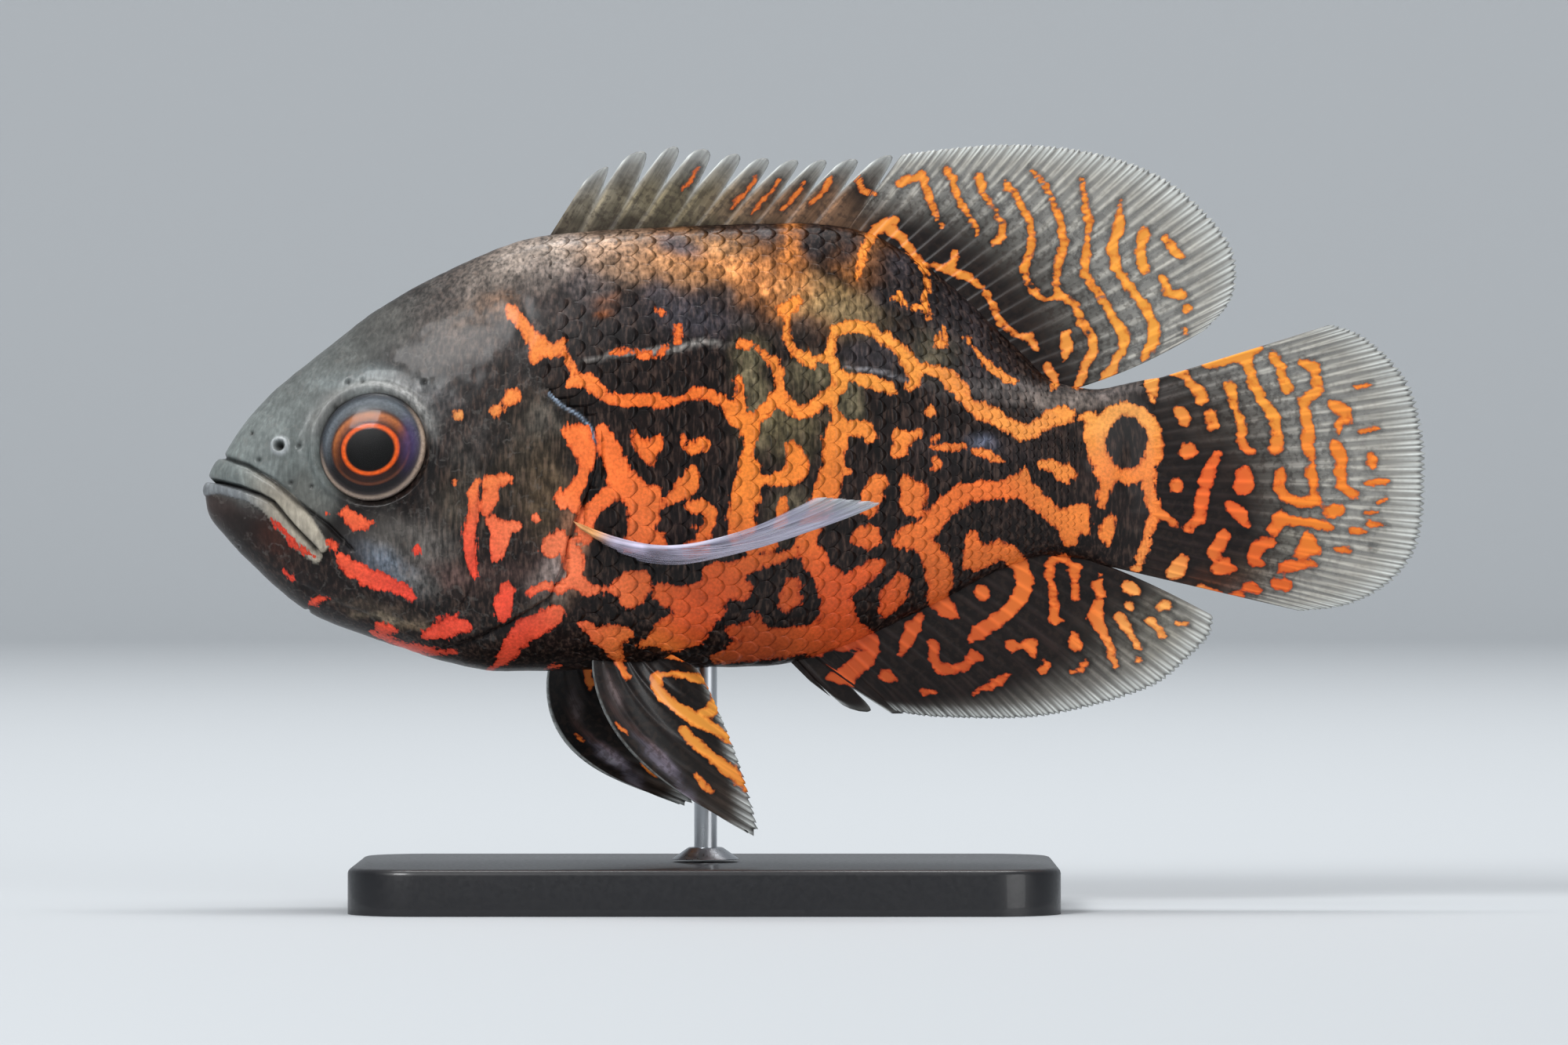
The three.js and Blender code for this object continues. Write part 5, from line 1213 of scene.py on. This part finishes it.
def fin_web_material(name, clear_alpha, shade, freckles):
    """Fin web: dark or grey skin over pale bony rays. Shade tells how dark the web and how light the rays
    are."""
    material, tree, shader = new_material(name, FIN_GREY, Roughness=0.5, Coat_Weight=0.1,
                                          Coat_Roughness=0.25, IOR=1.36, Specular_IOR_Level=0.3)
    where = node(tree, "TexCoord")["Object"]
    read = {key: node(tree, "Attribute", attribute_name=key)
            for key in ("mark", "hue", "ground", "ray", "out", "solid", "place")}
    along = node(tree, "CombineXYZ", {0: read["place"]["Fac"], 1: read["out"]["Fac"]})[0]
    along = node(tree, "Mapping", {"Vector": along, "Scale": (5, 3, 1)})[0]
    streak = node(tree, "TexNoise", {"Vector": along, "Scale": 1.0, "Detail": 3})["Fac"]
    fine = node(tree, "TexNoise", {"Vector": where, "Scale": 1 / (WEB_FLECK * MM), "Detail": 3})["Fac"]
    ragged = node(tree, "MapRange", {0: fine, 1: 0.3, 2: 0.7, 3: -1.6, 4: 1.6})[0]
    edge = node(tree, "Math", {0: read["mark"]["Fac"], 1: ragged}, operation="ADD")[0]
    inside = node(tree, "MapRange", {0: edge, 1: -0.8, 2: 1.0})[0]

    rayed = node(tree, "MapRange", {0: read["ray"]["Fac"], 3: shade[0], 4: shade[1]})[0]
    streaked = node(tree, "MapRange", {0: streak, 1: 0.3, 2: 0.7, 3: 0.72, 4: 1.3})[0]
    web = read["ground"]["Color"]
    for factor in (rayed, streaked):
        web = node(tree, "Mix", {0: 1.0, 6: web, 7: factor}, **MULTIPLY)[2]
    fewer_outwards = {0: read["out"]["Fac"], 1: 0.55, 2: 0.9, 3: freckles, 4: 0.15 * freckles}
    freckled = node(tree, "MapRange", fewer_outwards)[0]
    fleck = node(tree, "MapRange", {0: fine, 1: 0.48, 2: 0.6})[0]
    freckled = node(tree, "Math", {0: freckled, 1: fleck}, operation="MULTIPLY")[0]
    web = node(tree, "Mix", {0: freckled, 6: web, 7: (*linear("#2B201A"), 1)}, **MIX)[2]
    halo = node(tree, "MapRange", {0: edge, 1: -7, 2: -1, 3: 1, 4: 0.45})[0]
    web = node(tree, "Mix", {0: 1.0, 6: web, 7: halo}, **MULTIPLY)[2]

    redder = node(tree, "Mix", {0: 1.0, 6: read["hue"]["Color"], 7: (0.72, 0.4, 0.26, 1)}, **MULTIPLY)[2]
    inward = node(tree, "MapRange", {0: edge, 1: 0, 2: 3.5})[0]
    bars = node(tree, "Mix", {0: inward, 6: redder, 7: read["hue"]["Color"]}, **MIX)[2]
    lit = node(tree, "MapRange", {0: read["ray"]["Fac"], 3: 0.82, 4: 1.08})[0]
    bars = node(tree, "Mix", {0: 1.0, 6: bars, 7: lit}, **MULTIPLY)[2]
    colour = node(tree, "Mix", {0: inside, 6: web, 7: bars}, **MIX)[2]
    tree.links.new(colour, shader.inputs["Base Color"])

    firm = node(tree, "Math", {0: read["ray"]["Fac"], 1: 0.8}, operation="MULTIPLY")[0]
    cover = read["solid"]["Fac"]
    for covering in (inside, firm):
        cover = node(tree, "Math", {0: cover, 1: covering}, operation="MAXIMUM")[0]
    clearness = node(tree, "MapRange", {0: cover, 3: clear_alpha, 4: 1})[0]
    tree.links.new(clearness, shader.inputs["Alpha"])
    return material


# Wet fin web, varnished: thin skin that is see-through where it has no pigment, so fins glow at their edges.
rayed_web = fin_web_material("rayed_fin_web", 0.62, (0.62, 1.3), 0.5)


def dress_fin(piece, points, grain, nodes, fade, clouds=FIN_CLOUDS, dark=FIN_DARK, pale=FIN_GREY,
              web=rayed_web, strokes=MARKS, lit_lead=0.0, rim=0.1):
    """Colours a fin from its dark root to its pale edge and puts it in the place of its plain solid. Fade is
    how far out it turns pale, at the first and last ray. Lit_lead paints a highlight on the first ray, and
    rim whitens the edge."""
    u, v, ridge = grain
    x, y = seen_at(points)
    store(piece.data, "mark", mark_depth(x, y, strokes))
    store(piece.data, "hue", mark_hue(x, y))
    low, high = (np.interp(u, (0, 1), ends) for ends in fade)
    greyed = ramp(v, low, high)[:, None]
    shaded = ground_colour(x, y, dark, clouds)
    tone = shaded * (1 - greyed) + linear(pale) * greyed
    white = ramp(v, 0.86, 0.99) * (rim + (0.85 - rim) * ridge) + lit_lead * ramp(0.02 - u, 0, 0.01)
    white = np.clip(white, 0, 1)[:, None]
    tone = tone * (1 - white) + linear(FIN_EDGE) * white
    store(piece.data, "ground", tone)
    store(piece.data, "solid", np.clip(1.15 - 3.2 * tone.mean(axis=1), 0, 1))
    piece.data.materials.append(web)
    settle(piece, points)
    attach(piece, "root")
    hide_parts(*nodes)


SOFT_DORSAL = dict(
    root=[[81.7, 29.9], [86.2, 29.6], [91.3, 27.6], [96.5, 24], [101.6, 19.6], [106.4, 14.6], [110.8, 11.2]],
    edge=[[91.4, 43], [96.4, 43.7], [104.7, 44.4], [112.9, 44], [120.1, 42.5], [126.3, 39.8], [131.4, 35.5],
          [134.6, 31.3], [135.4, 27.2], [134.4, 23.4], [131.2, 19.9]],
    sway=1.4, lean=0.8,
)
SOFT_ANAL = dict(
    root=[[78.9, -19.2], [83, -19], [86.2, -18.4], [96.5, -13.7], [104.7, -9.6], [110, -8]],
    edge=[[90.4, -30.2], [94.6, -30.8], [98.5, -31], [104.7, -31.1], [109.8, -30.8], [115, -29.8],
          [120.1, -28.4], [125.2, -26.4], [129, -23.2], [131.8, -20.2], [132.3, -17.6]],
    sway=-1.2, lean=-0.6,
)
TAIL = dict(
    root=[[118, 11.4], [119.5, 8.4], [120.4, 4], [120.6, 0], [120.4, -4], [119.5, -8.6], [118, -11]],
    edge=[[147.8, 20.7], [152, 19.2], [156.1, 15.7], [158.6, 11.8], [160, 5.7], [160.1, 0.5], [159.8, -5.1],
          [158.4, -9.8], [155, -13.6], [149.9, -16.2], [143.8, -17]],
    sway=1.2, turns=2.0,
)
for name, rays, shape, fade, nodes in (
    ("dorsal_fin_soft_web", 20, SOFT_DORSAL, ((0.3, 0.1), (0.75, 0.6)), ["dorsal_fin_soft"]),
    ("anal_fin_soft_web", 17, SOFT_ANAL, ((0.85, 0.5), (1.25, 1.1)), ["anal_fin_soft"]),
    ("tail_fin_web", 19, TAIL, ((0.2, 0.5), (0.65, 0.9)), ["tail_fin"]),
):
    piece, points, *grain = fin_piece(name, rays, upright(**shape))
    dress_fin(piece, points, grain, nodes, fade)

# The spiny fins, ahead of the soft ones on back and belly: stiff bone spines with thin web between them.
# Each spine has a soft lappet of web behind its tip, and a notch comes before the next.
SPINE_ROOTS = [[43.4, 31], [48.2, 31.3], [51.8, 31.5], [55, 31.7], [59.3, 31.9], [62.5, 32], [66.2, 32.2],
               [70.3, 32.3], [74.4, 32.4], [78, 32.4], [82.4, 31.4]]
SPINE_TIPS = [[50, 39.8], [55, 42.6], [60.1, 43.6], [63.8, 43.4], [68.2, 42.8], [71.8, 42.2], [75.7, 41.9],
              [79.5, 41.9], [83.1, 41.9], [87.6, 42.2], [92.2, 43]]
ANAL_SPINE_ROOTS = [[74.5, -22.6], [75.6, -22.2], [77, -21.4], [79.4, -20.4]]
ANAL_SPINE_TIPS = [[79.6, -26.4], [83.9, -29.6], [90, -30.4], [91.6, -30.4]]
LAPPET = [(0, 0.95), (0.08, 1.01), (0.25, 1.04), (0.45, 1.03), (0.6, 0.98), (0.72, 0.88), (0.83, 0.72),
          (0.91, 0.62), (1, 0.95)]


def spiny(roots, tips, depth, joined):
    """Places a spiny fin, whose edge falls from each spine's lappet to the notch before the next. Joined
    tells whether the last bay runs full height into the soft fin behind."""
    roots, tips = np.array(roots), np.array(tips)
    share, reach = np.array(LAPPET).T

    def place_at(u, v, ridge):
        place = u * (len(roots) - 1)
        bay = np.clip(place.astype(int), 0, len(roots) - 2)
        t = (place - bay)[:, None]
        root = roots[bay] * (1 - t) + roots[bay + 1] * t
        tip = tips[bay] * (1 - t) + tips[bay + 1] * t
        height = np.interp(t[:, 0], share, reach)
        if joined:
            height = np.where(bay == len(roots) - 2, 1, height)
        far = (height * v)[:, None]
        p = root + (tip - root) * far
        x, z = SNOUT_X + p[:, 0], AXIS_Z + p[:, 1] + depth * (1 - v)
        return np.stack([x, 0 * x, z], 1), np.tile([0.0, 1.0, 0.0], (len(u), 1))

    return place_at


for name, roots, tips, depth, joined, fade, rim, nodes in (
    ("dorsal_fin_spiny_web", SPINE_ROOTS, SPINE_TIPS, -1.5, False, ((0.55, 0.6), (1.0, 1.05)), 0.6,
     ["dorsal_fin_spiny"]),
    ("anal_fin_spiny_web", ANAL_SPINE_ROOTS, ANAL_SPINE_TIPS, 1.2, True, ((0.9, 0.9), (1.2, 1.2)), 0.1,
     ["anal_fin_spiny"]),
):
    place_at = spiny(roots, tips, depth, joined)
    piece, points, *grain = fin_piece(name, len(roots), place_at, web=(0.3, 0.14), ray=(0.4, 0.08),
                                      forks=False)
    dress_fin(piece, points, grain, nodes, fade, rim=rim)

# The paired fins, of the same rays and web: pectorals fan out level behind the gill covers on pale clear
# rays, and the dark pelvics hang from the belly, each led by one stiff spine.
PECTORAL = dict(
    root=(SNOUT_X + 49.4, -11.4, AXIS_Z - 5.6), along=(0.925, -0.37, 0.05), wide=(0.42, 0.9, -0.2),
    root_width=4.6, lengths=[[0, 38], [0.15, 43.5], [0.35, 41], [0.6, 34], [0.85, 25], [1, 17]],
    angles=[[0, -9], [0.25, -3], [0.5, 6], [0.75, 17], [1, 29]], sag=4.6, rays=13,
)
PELVICS = {
    "left": dict(
        root=[[51, -22.2], [55, -22], [59.4, -21.6]],
        edge=[[70.7, -45.6], [72.6, -45.8], [71.4, -40.6], [69.8, -35.6], [67.8, -30.6], [66, -26.6],
              [64.8, -24.4]],
        bow=4.7,
    ),
    "right": dict(
        root=[[45.4, -23], [50, -22.6], [54.4, -22.2]],
        edge=[[61.6, -42.8], [63.8, -42.5], [64, -38.4], [63.2, -34.4], [62, -30.6], [60.6, -27.4],
              [59.4, -25.2]],
        bow=6,
    ),
}
PELVIC_RAYS, SPLAY_ROOT, SPLAY_TIP, SPLAY_FOLD = 7, 4.6, 11.6, -2.4


def pectoral(sign):
    """Places a pectoral fin, fanned in a plane that leans out from the body and sags half way along."""
    a = np.array(PECTORAL["along"]) / np.linalg.norm(PECTORAL["along"])
    w = np.array(PECTORAL["wide"])
    w = w - a * (w @ a)
    w /= np.linalg.norm(w)
    out = np.cross(a, w)
    length_at, angle_of = smooth_line(PECTORAL["lengths"]), smooth_line(PECTORAL["angles"])

    def place_at(u, v, ridge):
        length = length_at(u)[:, 1] * v * (1 - 0.04 * (1 - ridge) * v ** 3)
        turn = np.radians(angle_of(u)[:, 1])
        over = PECTORAL["root_width"] * (u - 0.5) + length * np.sin(turn)
        p = np.array(PECTORAL["root"]) + over[:, None] * w + (length * np.cos(turn))[:, None] * a
        p[:, 2] -= PECTORAL["sag"] * np.sin(math.pi * v ** 0.8)
        return p * (1, sign, 1), np.tile(out * (1, sign, 1), (len(u), 1))

    return place_at


def pelvic(root, edge, bow, sign):
    """Places a pelvic fin, which splays out as it hangs and bows forwards at its leading edge."""
    root_at, edge_at = smooth_line(root), smooth_line(edge)

    def place_at(u, v, ridge):
        start, end = root_at(u), edge_at(u)
        chord = end - start
        p = start + chord * (v * (1 - 0.03 * (1 - ridge) * v ** 3))[:, None]
        bend = bow * (1 - u) ** 1.5 * np.sin(math.pi * v ** 0.75) / np.hypot(*chord.T)
        y = SPLAY_ROOT + (SPLAY_TIP - SPLAY_ROOT) * v + SPLAY_FOLD * u * (1 - v)
        x, z = SNOUT_X + p[:, 0] + chord[:, 1] * bend, AXIS_Z + p[:, 1] - chord[:, 0] * bend
        return np.stack([x, sign * y, z], 1), np.tile([0.0, 1.0, 0.0], (len(u), 1))

    return place_at


# The same wet web with no pigment, as on a pectoral fin: mostly clear, with pale lavender rays.
clear_web = fin_web_material("clear_pectoral_web", 0.24, (0.85, 1.15), 0.0)
for side, sign in (("left", 1), ("right", -1)):
    piece, points, *grain = fin_piece("pectoral_fin_%s_web" % side, PECTORAL["rays"], pectoral(sign),
                                      web=(0.2, 0.08), ray=(0.32, 0.12), paler=0.8)
    at_root = [(748, 672, 30, 40, 0, "#E8A860", 0.95)]
    dress_fin(piece, points, grain, ["pectoral_fin_" + side], ((0.2, 0.2), (0.6, 0.6)), clouds=at_root,
              dark="#B9B4CA", pale="#C3C2D4", web=clear_web, strokes=[])
    shape = PELVICS[side]
    piece, points, *grain = fin_piece("pelvic_fin_%s_web" % side, PELVIC_RAYS, pelvic(sign=-sign, **shape))
    # The leading ray of each pelvic fin carries a painted highlight, stronger on the right fin.
    dress_fin(piece, points, grain, ["pelvic_fin_" + side], ((0.95, 0.75), (1.3, 1.15)),
              clouds=PELVIC_CLOUDS, dark="#241C19", strokes=PELVIC_MARKS,
              lit_lead=0.85 if side == "right" else 0.3)

# The stand: a flat fibreboard base, routed round at its corners and top edge and sprayed satin black. A
# brushed steel rod with a turned foot is screwed into it and holds the fish under the belly.
BOARD_EDGES = ((9 * MM, 12, True), (0.8 * MM, 3, False))  # radius and steps: standing corners, then top edge
low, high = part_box("stand_base")
base_size = [high[i] - low[i] for i in range(3)]
bpy.ops.object.select_all(action="DESELECT")
bpy.ops.mesh.primitive_cube_add(size=1, location=(0, 0, base_size[2] / 2), scale=base_size)
base = bpy.context.object
base.name = base.data.name = "stand_board"
bpy.ops.object.transform_apply(location=True, rotation=True, scale=True)
for width, segments, upright_edges in BOARD_EDGES:
    bpy.ops.object.mode_set(mode="EDIT")
    bpy.ops.mesh.select_mode(type="EDGE")
    bpy.ops.mesh.select_all(action="DESELECT")
    bpy.ops.object.mode_set(mode="OBJECT")
    for line in base.data.edges:
        a, b = (base.data.vertices[i].co for i in line.vertices)
        standing = abs(a.z - b.z) > 1e-5
        line.select = standing if upright_edges else not standing and a.z > base_size[2] / 2
    bpy.ops.object.mode_set(mode="EDIT")
    bpy.ops.mesh.bevel(offset=width, segments=segments, profile=0.5)
    bpy.ops.object.mode_set(mode="OBJECT")
bpy.ops.object.shade_smooth_by_angle(angle=math.radians(35))

# Sprayed lacquer: satin, with the faint orange peel of the spray gun, drawn at 0.6 mm so that it shows.
LACQUER_PEEL = 0.6  # mm
satin_black, tree, shader = new_material("satin_black_lacquer", "#17171A", Roughness=0.38, Coat_Weight=0.2)
where = node(tree, "TexCoord")["Object"]
spray = node(tree, "TexNoise", {"Vector": where, "Scale": 1 / (LACQUER_PEEL * MM), "Detail": 3})["Fac"]
sheen = node(tree, "MapRange", {0: spray, 3: 0.3, 4: 0.5})[0]
tree.links.new(sheen, shader.inputs["Roughness"])
peel = node(tree, "Bump", {"Height": spray, "Strength": 0.15, "Distance": 0.02 * MM})["Normal"]
tree.links.new(peel, shader.inputs["Normal"])
base.data.materials.append(satin_black)
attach(base, "root")
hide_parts("stand_base")

low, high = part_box("stand_rod")
ROD_RADIUS, FOOT_RADIUS, FOOT_NECK, FOOT_HEIGHT = 1.5 * MM, 4.5 * MM, 2.2 * MM, 1.6 * MM
INTO_BELLY = 0.6 * MM  # how much further up the rod goes, to reach through the gap under the skin
rod_height = high[2] - low[2] + INTO_BELLY
bpy.ops.object.select_all(action="DESELECT")
bpy.ops.mesh.primitive_cylinder_add(vertices=48, radius=ROD_RADIUS, depth=rod_height,
                                    location=(0, 0, low[2] + rod_height / 2))
rod = bpy.context.object
rod.name = rod.data.name = "stand_steel_rod"
bpy.ops.mesh.primitive_cone_add(vertices=48, radius1=FOOT_RADIUS, radius2=FOOT_NECK, depth=FOOT_HEIGHT,
                                location=(0, 0, low[2] + FOOT_HEIGHT / 2))
foot = bpy.context.object
bevel = foot.modifiers.new("turned", "BEVEL")
bevel.width, bevel.segments = 0.25 * MM, 3
bpy.ops.object.modifier_apply(modifier="turned")
bpy.ops.object.select_all(action="DESELECT")
rod.select_set(True)
foot.select_set(True)
bpy.context.view_layer.objects.active = rod
bpy.ops.object.join()
bpy.ops.object.transform_apply(location=True, rotation=True, scale=True)
bpy.ops.object.shade_smooth_by_angle(angle=math.radians(35))

# Bar steel, brushed along its length: fine lines that draw highlights out along the rod, at 0.25 mm so that
# they show.
BRUSH_LINE = 0.25  # mm
steel, tree, shader = new_material("brushed_steel_rod", "#B9BCC0", Metallic=1.0, Roughness=0.3)
where = node(tree, "TexCoord")["Object"]
along_rod = node(tree, "Mapping", {"Vector": where, "Scale": (1, 1, 0.06)})[0]
brush = node(tree, "TexNoise", {"Vector": along_rod, "Scale": 1 / (BRUSH_LINE * MM), "Detail": 2})["Fac"]
streak = node(tree, "MapRange", {0: brush, 3: 0.2, 4: 0.42})[0]
tree.links.new(streak, shader.inputs["Roughness"])
rod.data.materials.append(steel)
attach(rod, "root")
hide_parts("stand_rod")
